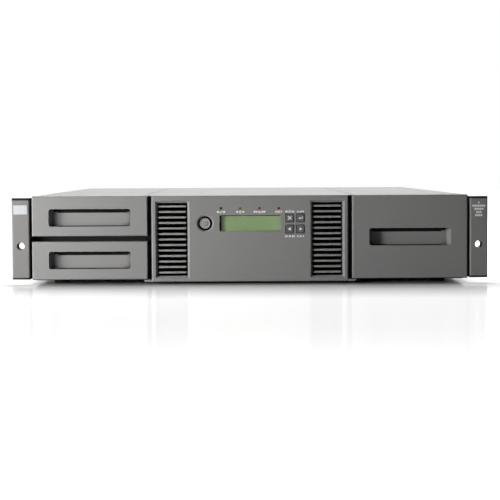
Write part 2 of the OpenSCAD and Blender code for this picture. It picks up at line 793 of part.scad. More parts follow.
module drive_rack() {
    tooth = gear_m * PI;
    y_mid = rest_y + pinion_y;
    n0 = floor((y_mid - inner_y - 2) / tooth) - 1;
    n1 = floor((last_col_y - rest_y + pinion_r + 6) / tooth) + 1;
    half = tooth / 4 - backlash / 2;
    tip = 0.95 * gear_m;
    root = -1.25 * gear_m;
    reach = [root, tip, tip, root];
    back = -5;
    color([0.85, 0.84, 0.80]) translate([rack_x, 0, floor_z + 0.05]) linear_extrude(rack_z1 - floor_z - 0.05)
        polygon(concat([[back, y_mid + (n1 + 1) * tooth], [back, y_mid - (n0 + 1) * tooth]],
            [for (i = [-n0 - 1 : n1 - 1], k = [0 : 3])
                let (w = half - reach[k] * tan(20)) [reach[k], y_mid + (i + 0.5) * tooth + (k < 2 ? -w : w)]],
            [[root, y_mid + (n1 + 1) * tooth]]));
}

// Places what rides on the carriage.
module at_carriage() translate([0, rest_y, 0]) children();

module carriage_plate() {
    room = pinion_r + 1.6;
    color([0.62, 0.63, 0.66]) at_carriage() {
        difference() {
            union() {
                box([-plate_x, -arm_y1, carriage_z], [plate_x, arm_y1 - 4, sun_z]);
                for (s = [-1, 1], t = [-1, 1]) carriage_arm(s, t);
                translate([0, 0, sun_z - eps]) linear_extrude(sun_t) difference() {
                    rotate(180) gear_outline(sun_n);
                    circle(sun_r - 8);
                }
            }
            translate([0, 0, carriage_z - 1]) cylinder(h = 9, r = 20 + run);
            translate([pinion_x, pinion_y, carriage_z - 1])
                cylinder(h = arm_z - carriage_z + 1 - eps, r = room);
            box([pinion_x - 20, pinion_y - room, carriage_z - 1], [pinion_x, pinion_y + room, arm_z - eps]);
            translate([pinion_x, pinion_y, carriage_z]) cylinder(h = 20, r = shaft_r + run);
            for (x = [-46, 46], y = [-46, 46]) translate([x, y, carriage_z - 1]) cylinder(h = 4, r = 5);
        }
    }
}

// Arm from the plate over the rack to a shoe that wraps the rail's head.
module carriage_arm(s, t) {
    y0 = t > 0 ? arm_y0 : -arm_y1;
    y1 = t > 0 ? arm_y1 - 4 : -arm_y0;
    head_x = rail_w / 2 + gap;
    stem_x = rail_stem_w / 2 + gap;
    mirror([s > 0 ? 0 : 1, 0, 0]) difference() {
        union() {
            box([arm_x, y0, carriage_z], [plate_x, y1, arm_z + arm_t]);
            box([arm_x, y0, arm_z], [rail_x + 6, y1, arm_z + arm_t]);
            box([rail_x - 5, y0, floor_z + 0.5], [rail_x + 6, y1, arm_z + arm_t]);
        }
        box([rail_x - head_x, y0 - 1, rail_stem_z - gap], [rail_x + head_x, y1 + 1, rail_z1 + gap]);
        box([rail_x - stem_x, y0 - 1, floor_z], [rail_x + stem_x, y1 + 1, rail_stem_z]);
    }
}

// Small motor standing on z with a bore for its shaft.
module motor(x, y, z, r, h, bore = shaft_r) {
    translate([x, y, z]) difference() {
        union() {
            cylinder(h = 2, r = r);
            cylinder(h = h, r = r - 0.6);
            translate([0, 0, h - eps]) cylinder(h = 1.5, r = r * 0.4);
        }
        translate([0, 0, -1]) cylinder(h = 9, r = bore + run);
    }
}

// Gear with its shaft, the gear from z0 to z1 and the shaft up to z2.
module shaft_gear(n, z0, z1, z2) {
    translate([0, 0, z0]) linear_extrude(z1 - z0) gear_outline(n);
    translate([0, 0, z0]) cylinder(h = z2 - z0, r = shaft_r);
}

module carriage_motor() color([0.20, 0.20, 0.22]) at_carriage()
    motor(pinion_x, pinion_y, arm_z + arm_t + seat, motor_r, motor_h);

module carriage_pinion() color([0.85, 0.84, 0.80]) at_carriage() translate([pinion_x, pinion_y, 0])
    shaft_gear(pinion_n, carriage_z + 0.2, rack_z1, arm_z + arm_t + 7);

// ---------------------------------------------------------------- turntable and lift

module turntable() {
    color([0.70, 0.71, 0.74]) at_carriage() difference() {
        union() {
            translate([0, 0, table_z]) cylinder(h = table_t, r = table_r, $fn = 96);
            translate([0, 0, carriage_z]) cylinder(h = table_z - carriage_z + eps, r = 20);
        }
        translate([0, 0, carriage_z - 1]) cylinder(h = 10, r = 12);
        translate([turn_x, 0, table_z - 1]) cylinder(h = 5, r = shaft_r + run);
        for (a = [45 : 90 : 315]) rotate(a) translate([38, 0, table_z - 1]) cylinder(h = 5, r = 11);
    }
}

module turn_motor() color([0.20, 0.20, 0.22]) at_carriage()
    motor(turn_x, 0, table_z + table_t + seat, turn_motor_r, motor_h);

module turn_pinion() color([0.85, 0.84, 0.80]) at_carriage() translate([turn_x, 0, 0]) rotate(180 / pinion_n)
    shaft_gear(pinion_n, sun_z + gap, sun_z + sun_t - eps, table_z + table_t + 7);

module lift_posts() {
    z0 = table_z + table_t + seat;
    color([0.82, 0.83, 0.85]) at_carriage() {
        for (x = [-post_x, post_x], y = [-post_y, post_y])
            translate([x, y, z0]) cylinder(h = bridge_z - z0 - seat, r = post_r);
        for (s = [-1, 1]) difference() {
            box([s * post_x - 6, -post_y - 5, bridge_z], [s * post_x + 6, post_y + 5, bridge_z + bridge_t]);
            translate([screw_x, 0, bridge_z - 1]) cylinder(h = 5, r = screw_r + run);
        }
    }
}

module lift_motor() color([0.20, 0.20, 0.22]) at_carriage()
    motor(screw_x, 0, table_z + table_t + seat, lift_motor_r, lift_motor_h);

module lift_screw() {
    z0 = table_z + table_t + lift_motor_h + 1.5 + gap;
    color([0.80, 0.80, 0.82]) at_carriage() translate([screw_x, 0, z0]) {
        cylinder(h = bridge_z + bridge_t - z0, r = screw_r);
    }
}

module lift_frame() {
    boss_z = yoke_z + 3;
    wall_x = yoke_x + yoke_wall_t;
    color([0.30, 0.31, 0.34]) at_carriage() difference() {
        union() {
            box([-yoke_x, -44, yoke_z], [yoke_x, 44, yoke_z + yoke_t]);
            for (s = [-1, 1]) {
                sided_box(s, [yoke_x - eps, -44, yoke_z], [wall_x, 44, yoke_z + 11]);
                for (t = [-1, 1]) {
                    translate([s * post_x, t * post_y, boss_z]) cylinder(h = boss_h, r = boss_r);
                    sided_box(s, [yoke_x, t * post_y - 3, boss_z], [post_x, t * post_y + 3, boss_z + boss_h]);
                }
            }
            box([yoke_x, -8, yoke_z], [wall_x, 8, nut_z + nut_h]);
            translate([screw_x, 0, nut_z]) cylinder(h = nut_h, r = 6);
            box([yoke_x, -5, nut_z], [screw_x, 5, nut_z + nut_h]);
        }
        for (x = [-post_x, post_x], y = [-post_y, post_y])
            translate([x, y, boss_z - 1]) cylinder(h = boss_h + 2, r = post_r + run);
        translate([screw_x, 0, nut_z - 1]) cylinder(h = nut_h + 2, r = screw_r + run);
    }
}

module picker_motor() {
    color([0.20, 0.20, 0.22]) at_carriage()
        rod_y(-yoke_x - yoke_wall_t - 3.6, yoke_z + 6, -45, -post_y - boss_r - 0.6, 3.4);
}

module picker_tray() {
    color([0.24, 0.25, 0.27]) at_carriage() difference() {
        union() {
            box([-tray_x1, -tray_y, tray_z], [tray_x1, tray_y, tray_top]);
            for (s = [-1, 1]) sided_box(s, [tray_x, -tray_y, tray_z], [tray_x1, tray_y, tray_top + 8]);
        }
        along_floor_slot();
    }
}

// Slot in the tray's floor in which the gripper's foot runs.
module along_floor_slot() box([-4, -tray_y + 1, tray_z - 1], [4, tray_y - 2, tray_top + 1]);

module gripper() {
    z0 = tray_top + gap;
    y0 = -tray_y + 1;
    color([0.78, 0.62, 0.20]) at_carriage() {
        box([-tray_x + 0.4, y0, z0], [tray_x - 0.4, y0 + 3, z0 + 7]);
        for (s = [-1, 1]) sided_box(s, [40, y0, z0], [44, y0 + 9, z0 + 7]);
        box([-3.6, y0, tray_z + 0.2], [3.6, y0 + 2.8, z0 + 1]);
    }
}

module barcode_reader() {
    color([0.60, 0.12, 0.12]) at_carriage()
        box([yoke_x + yoke_wall_t + seat, 34, yoke_z + 1], [yoke_x + yoke_wall_t + 6, 43, yoke_z + 10]);
}

// ---------------------------------------------------------------- tape drive

module drive_bay() {
    x0 = drive_w / 2 + gap;
    y0 = drive_y0 + 4;
    y1 = rear_y - sheet_t - seat;
    z0 = floor_z + seat;
    color(steel) for (s = [0, 1]) mirror([s, 0, 0]) {
        box([x0, y0, z0], [x0 + 1.5, y1, floor_z + 36]);
        box([drive_w / 2 - 12, y0, z0], [x0 + eps, y1, drive_z0 - gap]);
    }
}

module drive_case() {
    x1 = drive_w / 2;
    z1 = drive_z0 + drive_h;
    y0 = drive_y0 + drive_face_t + seat;
    color([0.66, 0.67, 0.69]) {
        difference() {
            union() {
                box([-x1, y0, drive_z0], [x1, drive_plate_y + eps, z1]);
                box([-x1 - sled_w, drive_plate_y, drive_z0 - 0.5], [x1 + sled_w, drive_back_y, z1 + 0.3]);
            }
            box([-mouth_w / 2, y0 - 1, mouth_z], [mouth_w / 2, y0 + mouth_d, mouth_z + mouth_h]);
            rod_y(drive_fan_x, drive_fan_z, drive_back_y - fan_d - 2, drive_back_y + 1, fan_r + 1);
            drive_socket(36, 12, 8, socket_d, 1);
            drive_socket(20, 10, 26, socket_d, 1);
        }
        rod_y(drive_fan_x, drive_fan_z, drive_back_y - fan_d - 2 - eps, drive_back_y - 1, shaft_r);
        translate([4, 0, 4]) drive_socket(28, 4, 8, socket_d + eps, -1);
        translate([3, 0, 3]) drive_socket(14, 4, 26, socket_d + eps, -1);
    }
}

// Box in the drive's rear plate, w wide and h high at z above the drive's foot.
module drive_socket(w, h, z, depth, out) {
    x = -drive_w / 2 + 15;
    box([x, drive_back_y - depth, drive_z0 + z], [x + w, drive_back_y + out, drive_z0 + z + h]);
}

module drive_fan() color([0.12, 0.12, 0.13])
    translate([drive_fan_x, drive_back_y - fan_d - 1.5, drive_fan_z]) fan_rotor(fan_r, fan_d - 2);

module drive_front() {
    color(black) difference() {
        box([-drive_w / 2, drive_y0, drive_z0], [drive_w / 2, drive_y0 + drive_face_t, drive_z0 + drive_h]);
        box([-mouth_w / 2, drive_y0 - 1, mouth_z], [mouth_w / 2, drive_y0 + 9, mouth_z + mouth_h]);
    }
}

// Bail handle on the drive's rear plate: two posts and a round grip.
module drive_handle() {
    y1 = overall_d / 2 - bail_r;
    color(black) {
        for (x = [bail_x0 + 4, bail_x0 + bail_w - 4]) rod_y(x, bail_z, drive_back_y + seat / 2, y1, 2.6);
        translate([bail_x0, y1, bail_z]) rotate([0, 90, 0]) cylinder(h = bail_w, r = bail_r);
    }
}

module drive_thumbscrews() {
    z = drive_z0 + 10;
    color([0.75, 0.75, 0.77]) for (x = [-drive_w / 2 - 1, drive_w / 2 + 1]) difference() {
        rod_y(x, z, drive_back_y + seat / 2, drive_back_y + 9, thumb_r);
        for (a = [0 : 30 : 330]) translate([x, 0, z]) rotate([0, a, 0])
            box([thumb_r - 0.3, drive_back_y + 2, -0.35], [thumb_r + 1, drive_back_y + 10, 0.35]);
    }
}

// ---------------------------------------------------------------- power supply and controller

module power_supply_case() {
    x0 = supply_x - supply_w / 2;
    x1 = supply_x + supply_w / 2;
    color(steel) {
        difference() {
            box([x0, supply_y0, supply_z0], [x1, rear_y, supply_z0 + supply_h]);
            box([x0 - 1, rear_y - sheet_t - seat, supply_z0 - 1], [x1 + 1, rear_y + 1, supply_z0 + 1.6]);
            rod_y(supply_fan_x, supply_fan_z, rear_y - fan_d - 4, rear_y - 1.2, fan_r + 1);
            for (i = [0 : 3]) difference() {
                rod_y(supply_fan_x, supply_fan_z, rear_y - 3, rear_y + 1, fan_r + 1 - i * 4.4);
                rod_y(supply_fan_x, supply_fan_z, rear_y - 4, rear_y + 2, fan_r - 2 - i * 4.4);
                for (a = [45, 135]) translate([supply_fan_x, rear_y, supply_fan_z]) rotate([0, a, 0])
                    cube([60, 10, 1.4], center = true);
            }
            box([inlet_x - inlet_w / 2 - seat, rear_y - 20, inlet_z - inlet_h / 2 - seat],
                [inlet_x + inlet_w / 2 + seat, rear_y + 1, inlet_z + inlet_h / 2 + seat]);
        }
        rod_y(supply_fan_x, supply_fan_z, rear_y - fan_d - 4 - eps, rear_y - 1.1, shaft_r);
    }
}

module power_supply_fan() color([0.12, 0.12, 0.13])
    translate([supply_fan_x, rear_y - fan_d - 3, supply_fan_z]) fan_rotor(fan_r, fan_d - 3);

module power_inlet() {
    color(black) {
        difference() {
            box([inlet_x - inlet_w / 2, rear_y - 19, inlet_z - inlet_h / 2],
                [inlet_x + inlet_w / 2, rear_y, inlet_z + inlet_h / 2]);
            along_y(rear_y - 15, rear_y + 1) translate([inlet_x, inlet_z])
                polygon([[-12, 3.5], [-12, -7.5], [12, -7.5], [12, 3.5], [8, 7.5], [-8, 7.5]]);
        }
        for (i = [-1 : 1]) box([inlet_x + i * 7 - 1, rear_y - 15.5, inlet_z - 2 - (i == 0 ? 3 : 0)],
            [inlet_x + i * 7 + 1, rear_y - 3, inlet_z + 2 - (i == 0 ? 3 : 0)]);
    }
}

module controller_board() {
    color([0.10, 0.35, 0.18]) {
        box([port_x + 1, board_y0, floor_z + 5], [-mag_x0, board_y1, port_z - seat]);
        for (x = [port_x + 8, -mag_x0 - 8], y = [board_y0 + 8, board_y1 - 9])
            translate([x, y, floor_z + seat]) cylinder(h = 5, r = 3);
        box([port_x + 27, board_y0 + 40, port_z - 1], [port_x + 57, board_y0 + 70, port_z + 4]);
        for (i = [0 : 3]) box([-mag_x0 - 15 - i * 8, board_y0 + 30, port_z - 1],
            [-mag_x0 - 10 - i * 8, board_y0 + 80, port_z + 12]);
        for (i = [0 : 2]) translate([port_x + 17 + i * 14, board_y0 + 100, port_z - 1])
            cylinder(h = 13, r = 4.5);
    }
}

// Outlines of the rear sockets: network, service, bus and serial.
module port_outlines(grow, y0, y1) {
    for (p = [[11, 16, 13.5], [35, 13, 6.5], [57, 13, 6.5], [87, 31, 11]])
        box([port_x + p[0] - p[1] / 2 - grow, y0, port_z - grow],
            [port_x + p[0] + p[1] / 2 + grow, y1, port_z + p[2] + grow]);
}

module rear_ports() {
    color([0.55, 0.56, 0.58]) difference() {
        port_outlines(0, rear_y - 16, rear_y + 0.5);
        for (p = [[11, 12, 9], [35, 11, 4.4], [57, 11, 4.4], [87, 18, 8]])
            box([port_x + p[0] - p[1] / 2, rear_y - 12, port_z + 1],
                [port_x + p[0] + p[1] / 2, rear_y + 1, port_z + 1 + p[2]]);
    }
}

base_pan();
top_cover();
cover_screws();
rear_panel();
front_frame();
centre_bezel();
left_vent_grille();
right_vent_grille();
display_window();
display_module();
front_panel_board();
ready_led();
clean_led();
attention_led();
error_led();
left_ear_cover();
right_ear_cover();
rack_brackets();
rubber_feet();
magazine_guides();
carriage_rails();
drive_rack();
power_supply_case();
power_inlet();
power_supply_fan();
controller_board();
rear_ports();
drive_bay();
left_magazine_shell();
left_magazine_cells();
left_magazine_panel();
mailslot_panel();
mailslot_tray();
right_magazine_shell();
right_magazine_cells();
right_magazine_panel();
power_button();
cancel_button();
enter_button();
previous_button();
next_button();
carriage_plate();
carriage_motor();
carriage_pinion();
turntable();
turn_motor();
turn_pinion();
lift_posts();
lift_motor();
lift_screw();
lift_frame();
picker_motor();
picker_tray();
gripper();
barcode_reader();
drive_case();
drive_front();
drive_handle();
drive_fan();
drive_thumbscrews();
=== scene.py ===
"""Rack-mount data tape library: finishes, fine pieces, stage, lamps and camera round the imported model."""
import logging
import math
from collections.abc import Iterable, Sequence
from dataclasses import dataclass
from enum import Enum
from functools import cache, cached_property

import bmesh
import bpy
from mathutils import Matrix, Vector


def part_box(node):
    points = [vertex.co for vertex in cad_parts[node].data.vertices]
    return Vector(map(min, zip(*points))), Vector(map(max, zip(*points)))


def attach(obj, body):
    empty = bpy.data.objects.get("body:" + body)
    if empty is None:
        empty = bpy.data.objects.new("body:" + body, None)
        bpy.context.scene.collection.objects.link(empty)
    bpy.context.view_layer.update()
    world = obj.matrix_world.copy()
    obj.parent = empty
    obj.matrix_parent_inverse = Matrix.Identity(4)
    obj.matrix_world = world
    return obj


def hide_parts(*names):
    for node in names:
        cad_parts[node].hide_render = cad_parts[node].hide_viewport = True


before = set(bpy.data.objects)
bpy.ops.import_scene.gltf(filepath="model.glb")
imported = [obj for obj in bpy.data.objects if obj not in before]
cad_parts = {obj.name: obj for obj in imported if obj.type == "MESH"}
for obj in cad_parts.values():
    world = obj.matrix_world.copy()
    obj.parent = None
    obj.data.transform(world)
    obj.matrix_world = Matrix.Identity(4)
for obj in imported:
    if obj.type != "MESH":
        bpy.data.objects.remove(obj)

LOG = logging.getLogger("tape_library")
MM = 0.001
HAIR = 0.00002  # keeps ink and rounded edges inside the CAD box, in metres
INK_T = 0.000015  # height of printed ink, in metres
WHITE = (1.0, 1.0, 1.0, 1.0)
PLASTIC_DUST = (0.52, 0.50, 0.47, 1.0)
METAL_DUST = (0.60, 0.58, 0.54, 1.0)

Colour = tuple[float, float, float]
Place = tuple[float, float, float]
Point = tuple[float, float]
Outline = list[Point]
Shapes = list[Outline]
Socket = bpy.types.NodeSocket
Inputs = dict[str | int, object]


# ---------------- shader graphs


def spaced(values: dict[str, object]) -> Inputs:
    """Returns the values with each _ in their names turned into a space."""
    return {key.replace("_", " "): value for key, value in values.items()}


class Graph:
    """Small wrapper round a node tree that adds nodes and links by name."""

    def __init__(self, tree: bpy.types.NodeTree) -> None:
        """Keeps the tree that the nodes go into."""
        self.tree = tree

    @cached_property
    def place(self) -> Socket:
        """The object's own coordinates, in metres."""
        return self.add("ShaderNodeTexCoord").outputs["Object"]

    def fill(self, node: bpy.types.Node, inputs: Inputs) -> bpy.types.Node:
        """Sets or links inputs of a node, given by name or index, and returns the node."""
        for key, value in inputs.items():
            if isinstance(value, Socket):
                self.tree.links.new(value, node.inputs[key])
            else:
                node.inputs[key].default_value = value
        return node

    def add(self, kind: str, inputs: Inputs | None = None, **settings: object) -> bpy.types.Node:
        """Adds a node, sets its properties, and fills or links its inputs.

        Args:
            kind: Blender's type name of the node.
            inputs: Value or output socket for each input, by name or index.
            **settings: Properties of the node itself.

        Returns:
            The new node.
        """
        node = self.tree.nodes.new(kind)
        for key, value in settings.items():
            setattr(node, key, value)
        return self.fill(node, inputs or {})

    def maths(self, operation: str, *values: object) -> Socket:
        """Adds a Math node on one to three values and returns its output."""
        return self.add("ShaderNodeMath", dict(enumerate(values)), operation=operation).outputs[0]

    def times(self, first: object, second: object) -> Socket:
        """Returns the product of two values."""
        return self.maths("MULTIPLY", first, second)

    def plus(self, first: object, second: object) -> Socket:
        """Returns the sum of two values."""
        return self.maths("ADD", first, second)

    def ramp(self, value: object, low: float, high: float, out: Point = (0.0, 1.0)) -> Socket:
        """Maps value from low..high to the out range, clamped, and returns the result."""
        inputs = dict(enumerate((value, low, high, *out)))
        return self.add("ShaderNodeMapRange", inputs, clamp=True).outputs[0]

    def blend(self, factor: object, first: object, second: object) -> Socket:
        """Mixes two colours by a factor and returns the colour socket."""
        return self.add("ShaderNodeMix", {0: factor, 6: first, 7: second}, data_type="RGBA").outputs[2]

    def axes(self, vector: Socket) -> bpy.types.NodeOutputs:
        """Returns the X, Y and Z outputs of a vector."""
        return self.add("ShaderNodeSeparateXYZ", {0: vector}).outputs

    def noise(self, scale: object, detail: float, roughness: float = 0.5,
              place: Socket | None = None, bend: float = 0.0) -> bpy.types.NodeOutputs:
        """Adds noise, in the object's own coordinates if place is None, and returns its outputs."""
        return self.add("ShaderNodeTexNoise", {
            "Vector": place or self.place, "Scale": scale, "Detail": detail, "Roughness": roughness,
            "Distortion": bend}).outputs


class Effect(Enum):
    """Surface effects that several finishes share, each a node group."""

    GRAIN = "fine_grain"
    MOTTLE = "soft_mottle"
    # edges lightened as wear and painted highlight
    EDGE = "worn_and_highlit_edges"
    DUST = "settled_dust"
    BRUSH = "rolled_lines"
    SCUFF = "fine_scuffs"
    # painted shade in deep, narrow recesses
    RECESS = "painted_recess_shade"


class EffectGroup(Graph):
    """Node group with float sockets that carries one effect."""

    def __init__(self, effect: Effect) -> None:
        """Makes the effect's group with the method of its name."""
        super().__init__(bpy.data.node_groups.new(effect.value, "ShaderNodeTree"))
        getattr(self, "_" + effect.name.lower())()

    def _open(self, *outputs: str, **inputs: float) -> None:
        """Adds the group's sockets.

        Args:
            *outputs: Names of the outputs.
            **inputs: Default value of each input, with _ for a space.
        """
        for key, value in spaced(inputs).items():
            self._socket(key, "INPUT").default_value = value
        for key in outputs:
            self._socket(key, "OUTPUT")
        self.given = self.add("NodeGroupInput").outputs
        self._leave = self.add("NodeGroupOutput").inputs

    def _socket(self, name: str, way: str) -> bpy.types.NodeTreeInterfaceSocket:
        """Adds a float socket to the group's INPUT or OUTPUT side and returns it."""
        return self.tree.interface.new_socket(name, in_out=way, socket_type="NodeSocketFloat")

    def give(self, name: str, socket: Socket) -> None:
        """Links a socket to one of the group's outputs."""
        self.tree.links.new(socket, self._leave[name])

    def _grain(self) -> None:
        """Fine moulded or cast grain: a height and a tone."""
        self._open("Height", "Tone", Scale=2400.0, Depth=1.0)
        scale = self.given["Scale"]
        fine = self.noise(scale, 3.0, 0.62)[0]
        cells = self.add("ShaderNodeTexVoronoi", {"Vector": self.place, "Scale": self.times(scale, 0.6)})
        height = self.plus(fine, self.times(cells.outputs[0], 0.45))
        self.give("Height", self.times(height, self.given["Depth"]))
        self.give("Tone", self.ramp(fine, 0.35, 0.65))

    def _mottle(self) -> None:
        """Slow variation of tone across a moulding or sheet."""
        self._open("Mask", Scale=9.0, Contrast=1.0)
        slow = self.ramp(self.noise(self.given["Scale"], 5.0, 0.55, bend=0.4)[0], 0.3, 0.7)
        self.give("Mask", self.times(slow, self.given["Contrast"]))

    def _edge(self) -> None:
        """Mask of outer edges, lightened as wear and painted highlight, broken up by noise."""
        self._open("Mask", Radius=0.0006, Amount=1.0, Tops=1.0, Break_Scale=160.0)
        bevel = self.add("ShaderNodeBevel", {"Radius": self.given["Radius"]}, samples=4).outputs[0]
        flat = self.add("ShaderNodeNewGeometry").outputs["Normal"]
        turn = self.add("ShaderNodeVectorMath", {0: bevel, 1: flat}, operation="DOT_PRODUCT")
        sides = self.ramp(self.axes(bevel)["Z"], 0.3, 0.1)
        kept = self.maths("MAXIMUM", sides, self.given["Tops"])
        edge = self.times(self.ramp(turn.outputs["Value"], 0.995, 0.86), kept)
        patches = self.ramp(self.noise(self.given["Break Scale"], 4.0)[0], 0.42, 0.62)
        self.give("Mask", self.times(self.times(edge, patches), self.given["Amount"]))

    def _dust(self) -> None:
        """Mask of thin dust on faces that look up."""
        self._open("Mask", Scale=60.0, Amount=0.2)
        normal = self.add("ShaderNodeNewGeometry").outputs["Normal"]
        clouds = self.ramp(self.noise(self.given["Scale"], 6.0, 0.7)[0], 0.38, 0.72)
        lying = self.times(self.ramp(self.axes(normal)["Z"], 0.55, 0.95), clouds)
        self.give("Mask", self.times(lying, self.given["Amount"]))

    def _brush(self) -> None:
        """Faint rolled lines that run from front to back in sheet metal."""
        self._open("Height", "Mask", Scale=900.0, Depth=1.0)
        drawn = self.add("ShaderNodeMapping", {"Vector": self.place, "Scale": (1.0, 0.012, 1.0)})
        lines = self.noise(self.given["Scale"], 4.0, 0.6, drawn.outputs[0])[0]
        self.give("Height", self.times(lines, self.given["Depth"]))
        self.give("Mask", self.ramp(lines, 0.3, 0.7))

    def _scuff(self) -> None:
        """Mask of thin crossing scuffs and hand marks, for roughness."""
        self._open("Mask", Scale=26.0, Amount=1.0)
        scale = self.given["Scale"]
        warp = self.noise(scale, 3.0)
        bent = self.add("ShaderNodeVectorMath", {0: self.place, 1: warp["Color"]}, operation="ADD")
        cells = self.add("ShaderNodeTexVoronoi", {"Vector": bent.outputs[0], "Scale": scale},
                         feature="DISTANCE_TO_EDGE")
        lines = self.times(self.ramp(cells.outputs["Distance"], 0.035, 0.0), 0.5)
        hands = self.times(self.ramp(warp[0], 0.45, 0.75), 0.7)
        self.give("Mask", self.times(self.plus(lines, hands), self.given["Amount"]))

    def _recess(self) -> None:
        """Mask of deep, narrow recesses, which are darkened as painted shade."""
        self._open("Mask", Reach=0.012, Closed=0.27, Open=0.55)
        around = self.add("ShaderNodeAmbientOcclusion", {"Distance": self.given["Reach"]}, samples=8)
        self.give("Mask", self.ramp(around.outputs["AO"], self.given["Open"], self.given["Closed"]))


@cache
def effect_tree(effect: Effect) -> bpy.types.NodeTree:
    """Returns an effect's node group, built on first use."""
    return EffectGroup(effect).tree


class Skin(Graph):
    """Graph of one material, with its Principled shader."""

    def __init__(self, material: bpy.types.Material) -> None:
        """Takes over a material's nodes."""
        super().__init__(material.node_tree)
        self.shader = self.tree.nodes["Principled BSDF"]

    def wear(self, **inputs: object) -> None:
        """Sets or links inputs of the shader, with _ for a space in their names."""
        self.fill(self.shader, spaced(inputs))

    def effect(self, effect: Effect, **inputs: object) -> bpy.types.NodeOutputs:
        """Places a shared effect with these inputs, with _ for a space, and returns its outputs."""
        return self.add("ShaderNodeGroup", spaced(inputs), node_tree=effect_tree(effect)).outputs

    def mask(self, effect: Effect, **inputs: object) -> Socket:
        """Places a shared effect with these inputs and returns its mask."""
        return self.effect(effect, **inputs)["Mask"]

    def vary(self, share: Socket, low: float, high: float) -> Socket:
        """Returns a value that goes from low to high as share goes from 0 to 1."""
        return self.ramp(share, 0.0, 1.0, (low, high))

    def bump(self, height: Socket, distance: float, strength: float) -> None:
        """Turns a height into the shader's normal.

        Args:
            height: Height over the surface.
            distance: Height in metres at a value of 1.
            strength: Share of the effect that shows.
        """
        inputs = {"Height": height, "Distance": distance, "Strength": strength}
        self.wear(Normal=self.add("ShaderNodeBump", inputs).outputs[0])


# ---------------- finishes


@dataclass(frozen=True)
class Finish:
    """A surface finish that becomes one material.

    Attributes:
        name: Name of the material.
        slot: Material slot of the record that it stands for; not used.
        colour: Linear base colour.
        rough: Roughness of the surface.
    """

    name: str
    slot: str
    colour: Colour
    rough: float = 0.5

    def material(self) -> bpy.types.Material:
        """Returns the finish's material, built on first use."""
        made = bpy.data.materials.get(self.name)
        if made is None:
            made = bpy.data.materials.new(self.name)
            made.use_nodes = True
            skin = Skin(made)
            skin.wear(Base_Color=self.tint(), Roughness=self.rough)
            self.paint(skin)
        return made

    def tint(self, gain: float = 1.0) -> tuple[float, ...]:
        """Returns the colour scaled by gain, with alpha 1."""
        return (*(part * gain for part in self.colour), 1.0)

    def paint(self, skin: Skin) -> None:
        """Adds what makes this finish more than a plain colour; the base class adds nothing.

        Args:
            skin: The material's graph and shader.
        """


@dataclass(frozen=True)
class MouldedPlastic(Finish):
    """Fine-grained moulded plastic with worn edges and a painted edge highlight, slow mottling and hand
    marks.

    Attributes:
        grain: Grain cells per metre.
        grain_depth: Height of the grain in metres.
        edge_gain: How much lighter the edges are, as wear and painted highlight.
        edge_amount: How much of the edges is lightened.
        dust: Share of dust on faces that look up.
        sheen: Strength of mirror reflection, 0.5 for bare plastic.
        recess: Share of the colour that deep recesses lose, as painted shade.
        edge_reach: Width of the lightened edges in metres.
        tops: Share of the edge lightening on edges that look up; below 1 keeps the painted highlight to the
            sides.
        deep_from: Place along Y behind which the moulding is painted black as shade, or None.
        ends: Heights in metres below and above which the moulding is darkened as painted shade, or None.
    """

    grain: float = 2600.0
    grain_depth: float = 0.00003
    edge_gain: float = 1.5
    edge_amount: float = 0.5
    dust: float = 0.12
    sheen: float = 0.14
    recess: float = 0.0
    edge_reach: float = 0.0006
    tops: float = 1.0
    deep_from: float | None = None
    ends: Point | None = None

    def paint(self, skin: Skin) -> None:
        """Adds mottling, worn edges with painted highlight, dust, painted shade, roughness variation and
        grain.
        """
        grain = skin.effect(Effect.GRAIN, Scale=self.grain)
        tone = skin.blend(skin.mask(Effect.MOTTLE, Scale=11.0), self.tint(0.965), self.tint(1.035))
        speck = skin.blend(skin.times(grain["Tone"], 0.5), tone, self.tint(1.06))
        # edges lightened as wear and painted highlight
        edge = skin.mask(Effect.EDGE, Radius=self.edge_reach, Amount=self.edge_amount, Tops=self.tops)
        worn_and_lit = skin.blend(edge, speck, self.tint(self.edge_gain))
        cover = skin.blend(skin.mask(Effect.DUST, Amount=self.dust), worn_and_lit, PLASTIC_DUST)
        # painted shade: deep recesses darkened towards near black
        if self.recess > 0:
            cover = skin.blend(skin.times(skin.mask(Effect.RECESS), self.recess), cover, self.tint(0.02))
        # painted shade: the moulding turns black behind deep_from, deep in the slots
        if self.deep_from is not None:
            depth = skin.axes(skin.place)["Y"]
            behind = skin.ramp(depth, self.deep_from, self.deep_from + 0.2 * MM)
            cover = skin.blend(behind, cover, self.tint(0.03))
        # painted shade: dark bands below and above the ends
        if self.ends is not None:
            height = skin.axes(skin.place)["Z"]
            low, high = (skin.ramp(height, end, end + way * 0.4 * MM) for end, way in zip(self.ends, (-1, 1)))
            cover = skin.blend(skin.maths("MAXIMUM", low, high), cover, self.tint(0.06))
        scuff = skin.mask(Effect.SCUFF, Amount=0.07)
        matt = skin.vary(grain["Tone"], self.rough - 0.03, self.rough + 0.04)
        rough = skin.plus(skin.plus(matt, skin.times(scuff, -1.0)), skin.times(edge, -0.08))
        skin.wear(Base_Color=cover, Roughness=rough, Specular_IOR_Level=self.sheen)
        skin.bump(grain["Height"], self.grain_depth, 0.6)


